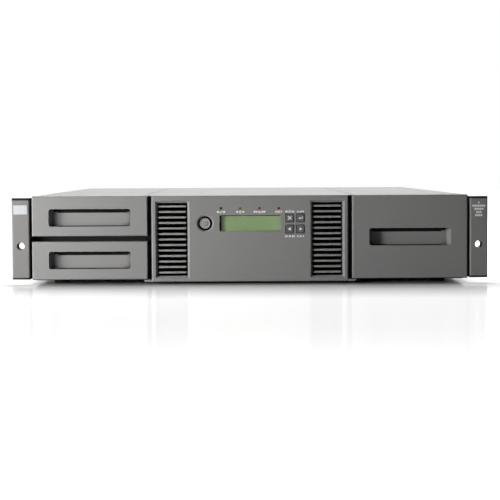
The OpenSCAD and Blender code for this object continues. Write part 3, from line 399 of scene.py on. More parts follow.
@dataclass(frozen=True)
class SheetMetal(Finish):
    """Coated or plated sheet with faint rolled lines, orange peel and scuffs.

    Attributes:
        metallic: How metallic the surface is.
        line_depth: Height of the rolled lines in metres.
        peel: Orange-peel cells per metre.
        edge_gain: How much lighter bare edges are, as wear and painted highlight.
        dust: Share of dust on faces that look up.
        sheen: Strength of mirror reflection, 0.5 for bare paint.
        edge_reach: Width of the lightened bare edges in metres.
    """

    metallic: float = 0.0
    line_depth: float = 0.00001
    peel: float = 900.0
    edge_gain: float = 1.25
    dust: float = 0.2
    sheen: float = 0.35
    edge_reach: float = 0.0004

    def paint(self, skin: Skin) -> None:
        """Adds rolled lines, peel, scuffs, bare edges with painted highlight, and dust."""
        brush = skin.effect(Effect.BRUSH)
        tone = skin.blend(skin.mask(Effect.MOTTLE, Scale=6.0), self.tint(0.96), self.tint(1.03))
        lined = skin.blend(skin.times(brush["Mask"], 0.4), tone, self.tint(0.94))
        edge = skin.mask(Effect.EDGE, Radius=self.edge_reach, Amount=0.7)
        # bare edges lightened as wear and painted highlight
        bare = skin.blend(edge, lined, self.tint(self.edge_gain))
        dust = skin.mask(Effect.DUST, Amount=self.dust)
        scuff = skin.mask(Effect.SCUFF, Scale=14.0, Amount=0.12)
        matt = skin.vary(brush["Mask"], self.rough - 0.04, self.rough + 0.05)
        rough = skin.plus(skin.plus(matt, scuff), skin.times(dust, 0.25))
        skin.wear(Base_Color=skin.blend(dust, bare, METAL_DUST), Roughness=rough,
                  Metallic=self.metallic, Specular_IOR_Level=self.sheen)
        peel = skin.effect(Effect.GRAIN, Scale=self.peel, Depth=0.35)["Height"]
        skin.bump(skin.plus(brush["Height"], peel), self.line_depth, 0.7)


@dataclass(frozen=True)
class ClearPane(Finish):
    """Clear acrylic with a few fine marks.

    Attributes:
        clear: How much light passes.
        bending: Index of refraction, low so that the display behind stays in place.
        cover: Alpha of the pane.
    """

    clear: float = 0.93
    bending: float = 1.2
    cover: float = 0.35

    def paint(self, skin: Skin) -> None:
        """Adds transmission and a faint haze of wiping marks."""
        haze = skin.plus(skin.mask(Effect.SCUFF, Scale=90.0, Amount=0.1), self.rough)
        skin.wear(Transmission_Weight=self.clear, IOR=self.bending, Alpha=self.cover, Roughness=haze)


@dataclass(frozen=True)
class LiquidCrystal(Finish):
    """Green liquid-crystal panel with the faint grid of its character cells.

    Attributes:
        across: Cells per metre from side to side.
        upward: Cells per metre upward.
    """

    across: float = 290.0
    upward: float = 142.0

    def paint(self, skin: Skin) -> None:
        """Adds the cell grid and a soft shift of green."""
        axes = skin.axes(skin.place)
        sides = []
        for axis, cells, low, high in (("X", self.across, 0.06, 0.12), ("Z", self.upward, 0.08, 0.13)):
            part = skin.maths("FRACT", skin.times(axes[axis], cells))
            sides.append(skin.ramp(skin.maths("PINGPONG", part, 0.5), low, high))
        mottle = skin.mask(Effect.MOTTLE, Scale=30.0)
        tone = skin.blend(mottle, self.tint(0.97), self.tint(1.04))
        cover = skin.blend(skin.times(skin.times(*sides), 0.25), tone, self.tint(0.93))
        skin.wear(Base_Color=cover, Roughness=skin.vary(mottle, self.rough, self.rough + 0.08))
        skin.bump(skin.effect(Effect.GRAIN, Scale=5200.0)["Height"], 0.000004, 0.4)


@dataclass(frozen=True)
class LampLens(Finish):
    """Unlit coloured lens: deep colour in the middle, paler at its rim as a painted sheen."""

    def paint(self, skin: Skin) -> None:
        """Adds a painted sheen at the rim, a cloudy core and a smooth coat."""
        # painted sheen: colour lightens where the lens turns from the view
        rim = skin.add("ShaderNodeLayerWeight", {"Blend": 0.4}).outputs["Facing"]
        core = skin.blend(skin.mask(Effect.MOTTLE, Scale=700.0), self.tint(0.8), self.tint(1.15))
        rough = skin.plus(skin.mask(Effect.SCUFF, Scale=400.0, Amount=0.15), self.rough)
        skin.wear(Base_Color=skin.blend(rim, core, self.tint(1.5)), Coat_Weight=0.4, Roughness=rough)


@dataclass(frozen=True)
class PrintedInk(Finish):
    """Screen-printed ink, slightly uneven in cover."""

    def paint(self, skin: Skin) -> None:
        """Adds uneven cover and a light grain."""
        grain = skin.effect(Effect.GRAIN, Scale=4200.0)
        skin.wear(Base_Color=skin.blend(grain["Tone"], self.tint(0.9), self.tint()),
                  Roughness=skin.vary(grain["Tone"], self.rough, self.rough + 0.12))
        skin.bump(grain["Height"], 0.00001, 0.5)


@dataclass(frozen=True)
class CircuitLaminate(Finish):
    """Solder mask over copper tracks."""

    def paint(self, skin: Skin) -> None:
        """Adds tracks under the mask and a glossy coat."""
        tracks = skin.add("ShaderNodeTexVoronoi", {"Vector": skin.place, "Scale": 420.0},
                          distance="MANHATTAN", feature="DISTANCE_TO_EDGE")
        line = skin.ramp(tracks.outputs["Distance"], 0.10, 0.06)
        skin.wear(Base_Color=skin.blend(line, self.tint(), self.tint(1.8)), Coat_Weight=0.3,
                  Roughness=skin.vary(line, self.rough, self.rough - 0.12))
        skin.bump(line, 0.00003, 0.5)


# Heights of the ear covers' painted shade bands at their bottom and top ends.
EAR_ENDS = (0.0074, 0.0853)


class Look:
    """All finishes of the library, by what they cover."""

    # Panels and bezel: painted highlight on side edges, painted shade in recesses and behind deep_from.
    GRAPHITE = MouldedPlastic(
        "graphite_moulding", "graphite_plastic", (0.202, 0.200, 0.197), 0.47, recess=0.97, edge_gain=1.7,
        edge_amount=1.6, edge_reach=0.0012, tops=0.0, deep_from=-0.3350)
    VENT = MouldedPlastic("vent_moulding", "graphite_plastic", (0.25, 0.247, 0.243), 0.47)
    # One ear moulding in two tints, left darker and right lighter, set to how the lamps light each ear:
    # painted light.
    EAR = MouldedPlastic("ear_moulding", "graphite_plastic", (0.160, 0.155, 0.150), 0.5, ends=EAR_ENDS)
    EAR_RIGHT = MouldedPlastic(
        "right_ear_moulding", "graphite_plastic", (0.200, 0.197, 0.189), 0.5, ends=EAR_ENDS)
    BUTTON = MouldedPlastic(
        "button_moulding", "button_plastic", (0.115, 0.115, 0.117), 0.4, grain=3600.0, grain_depth=0.00001)
    POWER = MouldedPlastic(
        "power_button_moulding", "button_plastic", (0.30, 0.297, 0.292), 0.38, grain=3600.0,
        grain_depth=0.00001)
    # edge_gain and edge_reach give the cover's front edge a painted highlight as well as wear.
    STEEL = SheetMetal(
        "pale_coated_sheet", "sheet_steel", (0.30, 0.297, 0.287), 0.55, edge_gain=1.6, edge_reach=0.0009)
    # Black coating, set darker than paint so that the frame in the gaps reads as painted shade.
    BLACK_STEEL = SheetMetal(
        "black_coated_sheet", "black_steel", (0.004, 0.004, 0.0045), 0.5, edge_gain=3.0, dust=0.03,
        sheen=0.2)
    SCREW = SheetMetal("zinc_screw", "screw_steel", (0.62, 0.62, 0.64), 0.28, metallic=1.0, dust=0.05)
    RUBBER = MouldedPlastic(
        "foot_rubber", "rubber", (0.018, 0.018, 0.018), 0.8, grain=1800.0, grain_depth=0.00006,
        edge_gain=2.0)
    PANE = ClearPane("clear_window", "window", (0.97, 0.99, 0.95), 0.04)
    LCD = LiquidCrystal("green_display", "lcd", (0.143, 0.221, 0.081), 0.3)
    BOARD = CircuitLaminate("green_laminate", "circuit_board", (0.02, 0.11, 0.045), 0.4)
    LED_READY = LampLens("ready_lens", "led_ready", (0.013, 0.038, 0.012), 0.2)
    LED_CLEAN = LampLens("clean_lens", "led_clean", (0.15, 0.072, 0.014), 0.2)
    LED_ATTENTION = LampLens("attention_lens", "led_attention", (0.17, 0.050, 0.014), 0.2)
    LED_ERROR = LampLens("error_lens", "led_error", (0.11, 0.008, 0.009), 0.2)
    MAGAZINE = MouldedPlastic(
        "magazine_moulding", "magazine_plastic", (0.016, 0.016, 0.017), 0.5, edge_gain=1.9, dust=0.03)
    MECH_STEEL = SheetMetal(
        "mechanism_plate", "mechanism_steel", (0.34, 0.345, 0.36), 0.42, metallic=0.85, dust=0.05)
    MECH_PLASTIC = MouldedPlastic("mechanism_moulding", "mechanism_plastic", (0.03, 0.03, 0.033), 0.45)
    GEAR = MouldedPlastic("acetal_moulding", "gear_plastic", (0.62, 0.60, 0.54), 0.35, edge_gain=1.1)
    MOTOR = SheetMetal(
        "motor_case_steel", "motor_case", (0.03, 0.03, 0.033), 0.32, metallic=0.6, edge_gain=3.0)
    GRIPPER = MouldedPlastic("yellow_moulding", "gripper_plastic", (0.42, 0.26, 0.035), 0.38, edge_gain=1.3)
    READER = MouldedPlastic("reader_moulding", "reader_plastic", (0.02, 0.02, 0.022), 0.3)
    DRIVE = SheetMetal("drive_sheet", "drive_metal", (0.28, 0.285, 0.29), 0.46, metallic=0.35)
    SUPPLY = SheetMetal("supply_sheet", "supply_metal", (0.29, 0.29, 0.285), 0.48, metallic=0.35)
    BLACK_PLASTIC = MouldedPlastic(
        "black_moulding", "black_plastic", (0.014, 0.014, 0.015), 0.42, edge_gain=2.4)
    # Near-black sheet: painted shade in the pocket slots and round the power button, painted shadow along the
    # display window, and the rear socket gaskets.
    SHADE_AND_GASKET_BLACK = MouldedPlastic(
        "painted_shade_and_gasket_black", "black_plastic", (0.0015, 0.0015, 0.0015), 0.6, edge_gain=1.0, dust=0.0, sheen=0.03)
    SOCKET = SheetMetal("nickel_shell", "socket_metal", (0.55, 0.54, 0.52), 0.25, metallic=1.0, dust=0.02)
    INK = PrintedInk("white_print", "graphite_plastic", (0.82, 0.82, 0.80), 0.45)
    PLATE = PrintedInk("white_plate", "graphite_plastic", (0.40, 0.42, 0.445), 0.3)


# ---------------- mesh tools


class Edge(float, Enum):
    """Widths of edge rounding, in metres."""

    NONE = 0.0
    BOARD = 0.0001
    MACHINED = 0.00015
    MOULDED = 0.0002
    SHEET = 0.00025
    CASED = 0.0003
    LENS = 0.0004
    KEY = 0.00045
    PANEL = 0.0005
    SOFT = 0.0006


def link(obj: bpy.types.Object) -> bpy.types.Object:
    """Puts an object into the scene and returns it."""
    bpy.context.scene.collection.objects.link(obj)
    return obj


def mesh_object(name: str, work: bmesh.types.BMesh, finish: Finish,
                smooth_deg: float = 35.0) -> bpy.types.Object:
    """Turns a working mesh into an object with a finish.

    Args:
        name: Name of the new piece.
        work: The working mesh, which is freed.
        finish: Finish of the whole piece.
        smooth_deg: Edges sharper than this stay sharp.

    Returns:
        The new object, linked to the scene.
    """
    bmesh.ops.recalc_face_normals(work, faces=work.faces)
    limit = math.radians(smooth_deg)
    for face in work.faces:
        face.smooth = True
    for edge in work.edges:
        edge.smooth = edge.is_manifold and edge.calc_face_angle(0.0) < limit
    mesh = bpy.data.meshes.new(name)
    work.to_mesh(mesh)
    work.free()
    mesh.materials.append(finish.material())
    return link(bpy.data.objects.new(name, mesh))


def settle(piece: bpy.types.Object, body: str, finish: Finish, *nodes: str) -> None:
    """Lets a piece ride on a body and hides the CAD nodes that it stands for.

    Args:
        piece: The new piece.
        body: CAD body that carries it.
        finish: The piece's finish; not used.
        *nodes: CAD nodes that it replaces.
    """
    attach(piece, body)
    if nodes:
        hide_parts(*nodes)


def soften(piece: bpy.types.Object, width: float, steps: int) -> None:
    """Rounds a CAD node's sharp edges by width, in steps, with modifiers that leave its mesh alone."""
    same_place, same_plane_deg, sharp_deg, flat_weight = 1e-6, 0.6, 40.0, 80
    weld = piece.modifiers.new("join", "WELD")
    weld.merge_threshold = same_place
    flat = piece.modifiers.new("flatten", "DECIMATE")
    flat.decimate_type = "DISSOLVE"
    flat.angle_limit = math.radians(same_plane_deg)
    rounding = piece.modifiers.new("round", "BEVEL")
    rounding.width = width
    rounding.segments = steps
    rounding.limit_method = "ANGLE"
    rounding.angle_limit = math.radians(sharp_deg)
    rounding.miter_outer = "MITER_ARC"
    normals = piece.modifiers.new("shade", "WEIGHTED_NORMAL")
    normals.keep_sharp = True
    normals.weight = flat_weight


def set_in(node: str, axis: str, depth: float) -> None:
    """Draws a CAD node along an axis by a hair, so that its ink and rounding stay inside the box."""
    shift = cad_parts[node].modifiers.new("set_in_" + axis.lower(), "DISPLACE")
    shift.direction = axis
    shift.mid_level = 0.0
    shift.strength = depth


def finish_node(node: str, finish: Finish, width: float, steps: int) -> None:
    """Gives a CAD node its finish and softened edges.

    Args:
        node: Name of the node.
        finish: Finish for the whole node.
        width: Width of the edge rounding in metres, or 0 for none.
        steps: Steps across the rounding.
    """
    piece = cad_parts[node]
    piece.data.materials.clear()
    piece.data.materials.append(finish.material())
    if width > 0:
        soften(piece, width, steps)
    LOG.info("node %s wears %s", node, finish.name)


def face_of(node: str) -> tuple[float, Point]:
    """Returns a node's front along Y, and its middle in X and Z."""
    low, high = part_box(node)
    return low.y, ((low.x + high.x) / 2, (low.z + high.z) / 2)


# ---------------- printed marks


def bar(x: float, z: float, w: float, h: float) -> Shapes:
    """Returns a rectangle about a centre."""
    return [[(x + a * w / 2, z + b * h / 2) for a, b in ((-1, -1), (1, -1), (1, 1), (-1, 1))]]


def stroke(points: Sequence[Point], width: float) -> Shapes:
    """Returns a line of rectangles, one for each stretch between the points."""
    strips = []
    for (x0, z0), (x1, z1) in zip(points, points[1:]):
        length = math.hypot(x1 - x0, z1 - z0)
        nx, nz = -(z1 - z0) / length * width / 2, (x1 - x0) / length * width / 2
        strips.append([(x0 - nx, z0 - nz), (x1 - nx, z1 - nz), (x1 + nx, z1 + nz), (x0 + nx, z0 + nz)])
    return strips


def arc(x: float, z: float, r: float, start: float, end: float, width: float, steps: int = 16) -> Shapes:
    """Returns a ring piece from start to end degrees as thin quads."""
    inner, outer = r - width / 2, r + width / 2
    angles = [math.radians(start + (end - start) * k / steps) for k in range(steps + 1)]
    quads = []
    for a, b in zip(angles, angles[1:]):
        corners = ((outer, a), (outer, b), (inner, b), (inner, a))
        quads.append([(x + reach * math.cos(turn), z + reach * math.sin(turn)) for reach, turn in corners])
    return quads


def triangle(x: float, z: float, size: float, turn: float) -> Shapes:
    """Returns a filled triangle that points the way of turn, in degrees from +X."""
    angles = [math.radians(turn + 120 * k) for k in range(3)]
    return [[(x + size * math.cos(a), z + size * math.sin(a)) for a in angles]]


class Symbol(Enum):
    """Plain pictograms for lights and buttons."""

    TICK = "tick"
    DROP = "drop"
    CAUTION = "caution"
    CROSS = "cross"
    RETURN = "return"
    LEFT = "left"
    RIGHT = "right"
    STANDBY = "standby"

    def outlines(self, x: float, z: float, size: float) -> Shapes:
        """Draws the symbol.

        Args:
            x: Centre across.
            z: Centre upward.
            size: Half the symbol's height, in metres.

        Returns:
            Its outlines.
        """
        line = size * 0.42
        thin = line * 0.8

        def drawn(width: float, *points: Point) -> Shapes:
            """Returns a line through points that are given as shares of the size."""
            return stroke([(x + size * a, z + size * b) for a, b in points], width)

        match self:
            case Symbol.TICK:
                return drawn(line, (-1, 0), (-0.3, -0.8), (1, 0.8))
            case Symbol.DROP:
                bowl = arc(x, z - size * 0.25, size * 0.62, -220, 40, line)
                return bowl + drawn(line, (-0.45, 0.2), (0, 1), (0.45, 0.2))
            case Symbol.CAUTION:
                return drawn(thin, (-1, -0.8), (1, -0.8), (0, 1), (-1, -0.8)) + bar(x, z, thin, size * 0.8)
            case Symbol.CROSS:
                return drawn(line, (-1, -1), (1, 1)) + drawn(line, (-1, 1), (1, -1))
            case Symbol.RETURN:
                head = triangle(x - size * 0.5, z - size * 0.2, size * 0.75, 180)
                return drawn(line, (1, 0.8), (1, -0.2), (-0.4, -0.2)) + head
            case Symbol.LEFT | Symbol.RIGHT:
                return triangle(x, z, size * 1.05, 180 if self is Symbol.LEFT else 0)
        return arc(x, z, size * 0.85, 125, 415, line, 24) + bar(x, z + size * 0.5, line, size)


def printed(name: str, outlines: Iterable[Outline], front: float, finish: Finish, body: str = "library",
            thick: float = INK_T) -> None:
    """Puts thin ink, or a thin strip, on a face that looks to the front.

    Args:
        name: Name of the piece.
        outlines: Shapes in X and Z, in metres.
        front: Place of the face along Y.
        finish: Finish of the ink.
        body: CAD body that carries it.
        thick: Height of the ink in metres.
    """
    work = bmesh.new()
    for outline in outlines:
        lower = [work.verts.new((x, front + thick * 0.2, z)) for x, z in outline]
        upper = [work.verts.new((x, front - thick, z)) for x, z in outline]
        work.faces.new(upper)
        work.faces.new(lower[::-1])
        for k, corner in enumerate(lower):
            after = (k + 1) % len(outline)
            work.faces.new((corner, lower[after], upper[after], upper[k]))
    settle(mesh_object(name, work, finish), body, finish)


# ---------------- sub-assemblies


class SubAssembly:
    """Nodes that are finished together, with the fine pieces built on them.

    Attributes:
        WEARS: Finish, edge rounding, steps across it, and names of the nodes that wear them.
        DRAWN: Node, axis and hairs by which it is drawn in.
    """

    WEARS: tuple[tuple[Finish, Edge, int, str], ...] = ()
    DRAWN: tuple[tuple[str, str, int], ...] = ()

    def dress(self) -> None:
        """Gives the nodes their finishes and draws in those that need it."""
        for finish, width, steps, nodes in self.WEARS:
            for node in nodes.split():
                finish_node(node, finish, width, steps)
        for node, axis, hairs in self.DRAWN:
            set_in(node, axis, hairs * HAIR)

    def build(self) -> None:
        """Adds the fine pieces; the base class adds none."""


class CaseShell(SubAssembly):
    """Steel case: pan, cover, rear panel, front frame, brackets, screws and feet."""

    WEARS = (
        (Look.STEEL, Edge.SHEET, 2, "base_pan top_cover rear_panel"),
        (Look.BLACK_STEEL, Edge.NONE, 2, "front_frame rack_brackets"),
        (Look.SCREW, Edge.MACHINED, 2, "cover_screws"),
        (Look.RUBBER, Edge.SOFT, 3, "rubber_feet"))


@dataclass(frozen=True)
class FrontPanels(SubAssembly):
    """Magazine and mailslot panels, ear covers and the blank plate on the left ear.

    Names end in _w, _h or _t for a width, height or thickness, _in for a place from the ear's front
    or edge, _drop for one below a top, and _pitch or _step for a distance from mark to mark.
    """

    WEARS = (
        (Look.GRAPHITE, Edge.PANEL, 3, "left_magazine_panel mailslot_panel right_magazine_panel"),
        (Look.EAR, Edge.CASED, 2, "left_ear_cover"),
        (Look.EAR_RIGHT, Edge.CASED, 2, "right_ear_cover"))
    DRAWN = (("right_ear_cover", "Y", 1), ("left_ear_cover", "X", 2), ("right_ear_cover", "X", -2))

    plate_size: Point = (13.9 * MM, 9.2 * MM)
    plate_in: float = 8.6 * MM
    plate_drop: float = 13.6 * MM
    plate_t: float = 0.3 * MM
    plate_back: float = 0.4 * MM
    pocket_x: Point = (124.5 * MM, 195.5 * MM)
    slot_top: tuple[tuple[str, float], ...] = (
        ("mailslot", 73.6 * MM), ("left_magazine", 30.45 * MM), ("right_magazine", 52.9 * MM))
    # Painted shade strips in the pockets: upper and lower heights, the pocket wall's height, and depth from
    # the ear's front.
    upper_shade_h: float = 0.95 * MM
    lower_shade_h: float = 0.75 * MM
    wall_h: float = 14.8 * MM
    pocket_shade_in: float = 9.5 * MM
    mark_rows: tuple[int, ...] = (7, 5, 3, 4)
    mark_size: Point = (1.5 * MM, 2.0 * MM)
    mark_pitch: float = 1.9 * MM
    mark_step: float = 3.2 * MM
    arrow: float = 1.3 * MM
    arrow_drop: float = 6.5 * MM
    def build(self) -> None:
        """Adds the blank plate, painted shade strips at the top and foot of each pocket, and the plain marks
        on the right ear.
        """
        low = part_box("left_ear_cover")[0]
        x, z = low.x + self.plate_in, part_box("centre_bezel")[1].z - self.plate_drop
        printed("left_ear_plate", bar(x, z, *self.plate_size), low.y + self.plate_back, Look.PLATE,
                thick=self.plate_t)
        near, far = self.pocket_x
        # painted shade: black strips at the top and foot of each pocket's back wall
        for body, top in self.slot_top:
            x = (near + far) / 2 * (1 if body == "right_magazine" else -1)
            strips = bar(x, top - self.upper_shade_h / 2, far - near, self.upper_shade_h)
            strips += bar(x, top - self.wall_h + self.lower_shade_h / 2, far - near, self.lower_shade_h)
            printed(body + "_slot_lining", strips, low.y + self.pocket_shade_in, Look.SHADE_AND_GASKET_BLACK, body)
        face, (x, _) = face_of("right_ear_cover")
        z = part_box("right_ear_cover")[1].z - self.arrow_drop
        marks = triangle(x, z, self.arrow, 90)
        for row, count in enumerate(self.mark_rows, 1):
            for k in range(count):
                across = x + (k - (count - 1) / 2) * self.mark_pitch
                marks += bar(across, z - row * self.mark_step, *self.mark_size)
        printed("right_ear_marks", marks, face + HAIR, Look.INK)


@dataclass(frozen=True)
class Console(SubAssembly):
    """Centre bezel with its grilles, display, lights, buttons and printed symbols.

    A label is a node's name, its symbol, its height and its width in all, with dashes beside the
    symbol. The ring round the power button is painted shade; the display's left and top edge, painted shadow.
    """

    WEARS = (
        (Look.GRAPHITE, Edge.PANEL, 2, "centre_bezel"),
        (Look.VENT, Edge.MOULDED, 2, "left_vent_grille right_vent_grille"),
        (Look.PANE, Edge.BOARD, 2, "display_window"),
        (Look.LCD, Edge.BOARD, 2, "display_module"),
        (Look.BOARD, Edge.BOARD, 2, "front_panel_board"),
        (Look.LED_READY, Edge.LENS, 3, "ready_led"),
        (Look.LED_CLEAN, Edge.LENS, 3, "clean_led"),
        (Look.LED_ATTENTION, Edge.LENS, 3, "attention_led"),
        (Look.LED_ERROR, Edge.LENS, 3, "error_led"),
        (Look.BUTTON, Edge.KEY, 3, "cancel_button enter_button previous_button next_button"),
        (Look.POWER, Edge.CASED, 3, "power_button"))
    DRAWN = (("centre_bezel", "Y", 1), ("cancel_button", "Y", 1), ("enter_button", "Y", 1),
             ("previous_button", "Y", 1), ("next_button", "Y", 1))

    lamp_row: float = 73.0 * MM
    under_row: float = 48.0 * MM
    labels: tuple[tuple[str, Symbol, float, float], ...] = (
        ("ready_led", Symbol.TICK, lamp_row, 8.6 * MM),
        ("clean_led", Symbol.DROP, lamp_row, 8.3 * MM),
        ("attention_led", Symbol.CAUTION, lamp_row, 12.4 * MM),
        ("error_led", Symbol.CROSS, lamp_row, 7.2 * MM),
        ("cancel_button", Symbol.CROSS, lamp_row, 9.2 * MM),
        ("enter_button", Symbol.RETURN, lamp_row, 7.2 * MM),
        ("previous_button", Symbol.LEFT, under_row, 10.2 * MM),
        ("next_button", Symbol.RIGHT, under_row, 7.2 * MM))
    symbol: float = 1.4 * MM
    dash_from: float = 2.0 * MM
    dash_step: float = 2.0 * MM
    dash_gap: float = 0.4 * MM
    key_symbol: float = 1.75 * MM
    power_symbol: float = 2.4 * MM
    # Painted shade ring round the power button: radius, width and depth behind the bezel's face.
    ring_shade_r: float = 6.3 * MM
    ring_shade_w: float = 1.7 * MM
    ring_shade_in: float = 2.6 * MM
    # Widths of the painted shadow at the display window's left and top edges, then the window's size.
    border_left: float = 2.3 * MM
    border_top: float = 0.9 * MM
    window: Point = (62.0 * MM, 16.5 * MM)
    def build(self) -> None:
        """Adds the printed symbols, the painted shade round the power button and the display's painted
        shadow.
        """
        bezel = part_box("centre_bezel")[0].y
        marks: Shapes = []
        for node, symbol, row, width in self.labels:
            face, (x, z) = face_of(node)
            marks += self._label(x, row, symbol, width)
            if node.endswith("_button"):
                printed(node + "_symbol", symbol.outlines(x, z, self.key_symbol), face + HAIR, Look.INK, node)
        printed("console_symbols", marks, bezel + HAIR, Look.INK)
        face, (x, z) = face_of("power_button")
        standby = Symbol.STANDBY.outlines(x, z, self.power_symbol)
        printed("power_symbol", standby, face, Look.BUTTON, "power_button")
        # painted shade: a black ring in the gap round the power button
        ring_shade = arc(x, z, self.ring_shade_r, 0, 360, self.ring_shade_w, 48)
        printed("power_button_ring_shade", ring_shade, bezel + self.ring_shade_in, Look.SHADE_AND_GASKET_BLACK)
        x, z = face_of("display_window")[1]
        # painted shadow: black strips inside the display window's left and top edges
        (wide, high), left, top = self.window, self.border_left, self.border_top
        window_shadow = bar(x - wide / 2 + left / 2, z, left, high)
        window_shadow += bar(x + left / 2, z + high / 2 - top / 2, wide - left, top)
        printed("display_window_shadow", window_shadow, face_of("display_module")[0], Look.SHADE_AND_GASKET_BLACK)

    def _label(self, x: float, z: float, symbol: Symbol, width: float) -> Shapes:
        """Returns a symbol with short dashes on both sides of it, as wide in all as width."""
        marks = symbol.outlines(x, z, self.symbol)
        room = width / 2 - self.dash_from
        count = max(1, round(room / self.dash_step))
        for side in (-1, 1):
            for k in range(count):
                place = self.dash_from + room * (k + 0.5) / count
                marks += bar(x + side * place, z, room / count - self.dash_gap, self.symbol * 1.1)
        return marks


class Magazines(SubAssembly):
    """Both magazines, the mailslot tray and their guides."""

    WEARS = (
        (Look.MAGAZINE, Edge.MOULDED, 2, "left_magazine_shell left_magazine_cells mailslot_tray"),
        (Look.MAGAZINE, Edge.MOULDED, 2, "right_magazine_shell right_magazine_cells"),
        (Look.BLACK_PLASTIC, Edge.MOULDED, 2, "magazine_guides"))


@dataclass(frozen=True)
class LiftScrew:
    """Trapezoid-threaded lift screw that turns in the lift frame's nut.

    Rings of vertices follow the thread: pitch is its rise in a turn, and depth that of its cut.
    """

    pitch: float = 2.0 * MM
    depth: float = 0.4 * MM
    sides: int = 28
    rings_a_turn: int = 8
    smooth_deg: float = 50.0

    def build(self) -> None:
        """Builds the threaded shaft in the place of the plain one."""
        low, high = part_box("lift_screw")
        x, y = (low.x + high.x) / 2, (low.y + high.y) / 2
        outer, tall = (high.x - low.x) / 2, high.z - low.z
        count = int(tall / self.pitch * self.rings_a_turn)
        work = bmesh.new()
        rings = []
        for k in range(count + 1):
            ring = []
            for s in range(self.sides):
                a = math.tau * s / self.sides
                r = outer - self.depth * self._cut(k / self.rings_a_turn - s / self.sides)
                place = (x + r * math.cos(a), y + r * math.sin(a), low.z + tall * k / count)
                ring.append(work.verts.new(place))
            rings.append(ring)
        for first, second in zip(rings, rings[1:]):
            for s in range(self.sides):
                t = (s + 1) % self.sides
                work.faces.new((first[s], first[t], second[t], second[s]))
        work.faces.new(rings[0][::-1])
        work.faces.new(rings[-1])
        piece = mesh_object("threaded_lift_screw", work, Look.MECH_STEEL, self.smooth_deg)
        settle(piece, "lift_screw", Look.MECH_STEEL, "lift_screw")

    @staticmethod
    def _cut(turn: float) -> float:
        """Returns the share of the thread's depth that is cut away at a turn, with a flat top and foot."""
        flank, top = 2.6, 0.8
        return min(1.0, max(0.0, flank * abs(turn % 1.0 - 0.5) * 2 - top))


class Picker(SubAssembly):
    """Rails, rack, carriage, turntable, lift, tray and gripper."""

    WEARS = (
        (Look.MECH_STEEL, Edge.MACHINED, 2, "carriage_rails turntable lift_posts"),
        (Look.MECH_PLASTIC, Edge.MACHINED, 2, "carriage_plate lift_frame picker_tray"),
        (Look.GEAR, Edge.NONE, 2, "drive_rack carriage_pinion turn_pinion"),
        (Look.MOTOR, Edge.CASED, 2, "carriage_motor turn_motor lift_motor picker_motor"),
        (Look.GRIPPER, Edge.MOULDED, 2, "gripper"),
        (Look.READER, Edge.CASED, 2, "barcode_reader"))

    def build(self) -> None:
        """Builds the threaded lift screw."""
        LiftScrew().build()


@dataclass(frozen=True)
class RearBay(SubAssembly):
    """Tape drive, power supply and controller with what they show at the rear.

    The gaskets lie inside the rear panel, round sockets given by left, foot, right and top in mm.
    """

    WEARS = (
        (Look.MECH_STEEL, Edge.MOULDED, 2, "drive_bay"),
        (Look.DRIVE, Edge.CASED, 2, "drive_case"),
        (Look.BLACK_PLASTIC, Edge.CASED, 2, "drive_front power_inlet"),
        (Look.BLACK_PLASTIC, Edge.SOFT, 3, "drive_handle"),
        (Look.SCREW, Edge.MACHINED, 2, "drive_thumbscrews"),
        (Look.BLACK_PLASTIC, Edge.MACHINED, 2, "drive_fan power_supply_fan"),
        (Look.SUPPLY, Edge.CASED, 2, "power_supply_case"),
        (Look.BOARD, Edge.BOARD, 2, "controller_board"),
        (Look.SOCKET, Edge.MOULDED, 2, "rear_ports"))

    gasket_w: float = 1.5 * MM
    gasket_t: float = 0.3 * MM
    gasket_in: float = 0.1 * MM
    sockets: tuple[tuple[float, float, float, float], ...] = (
        (-214.0, 12.5, -198.0, 26.0), (-188.5, 12.5, -175.5, 19.0), (-166.5, 12.5, -153.5, 19.0),
        (-145.5, 12.5, -114.5, 23.5))
    def build(self) -> None:
        """Adds dark gaskets that close the clearance round the rear sockets."""
        wide = self.gasket_w
        rings: Shapes = []
        for left, foot, right, top in ([v * MM for v in socket] for socket in self.sockets):
            for z in (foot - wide / 2, top + wide / 2):
                rings += bar((left + right) / 2, z, right - left + 2 * wide, wide)
            for x in (left - wide / 2, right + wide / 2):
                rings += bar(x, (foot + top) / 2, wide, top - foot)
        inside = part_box("rear_panel")[0].y - self.gasket_in
        printed("socket_gaskets", rings, inside, Look.SHADE_AND_GASKET_BLACK, thick=self.gasket_t)


# ---------------- stage, lamps and camera


@dataclass(frozen=True)
class SoftLamp:
    """Oblong area lamp that looks at a point, with a grid that narrows its beam."""

    name: str
    place: Place
    aim: Place
    size: Point
    power: float
    spread_deg: float = 180.0
    colour: Colour = (1.0, 1.0, 1.0)

    def build(self) -> None:
        """Adds the lamp to the scene."""
        lamp = bpy.data.lights.new(self.name, "AREA")
        lamp.shape = "RECTANGLE"
        lamp.size, lamp.size_y = self.size
        lamp.energy = self.power
        lamp.color = self.colour
        lamp.spread = math.radians(self.spread_deg)
        holder = link(bpy.data.objects.new(self.name, lamp))
        holder.location = self.place
        holder.rotation_euler = (Vector(self.aim) - Vector(self.place)).to_track_quat("-Z", "Y").to_euler()


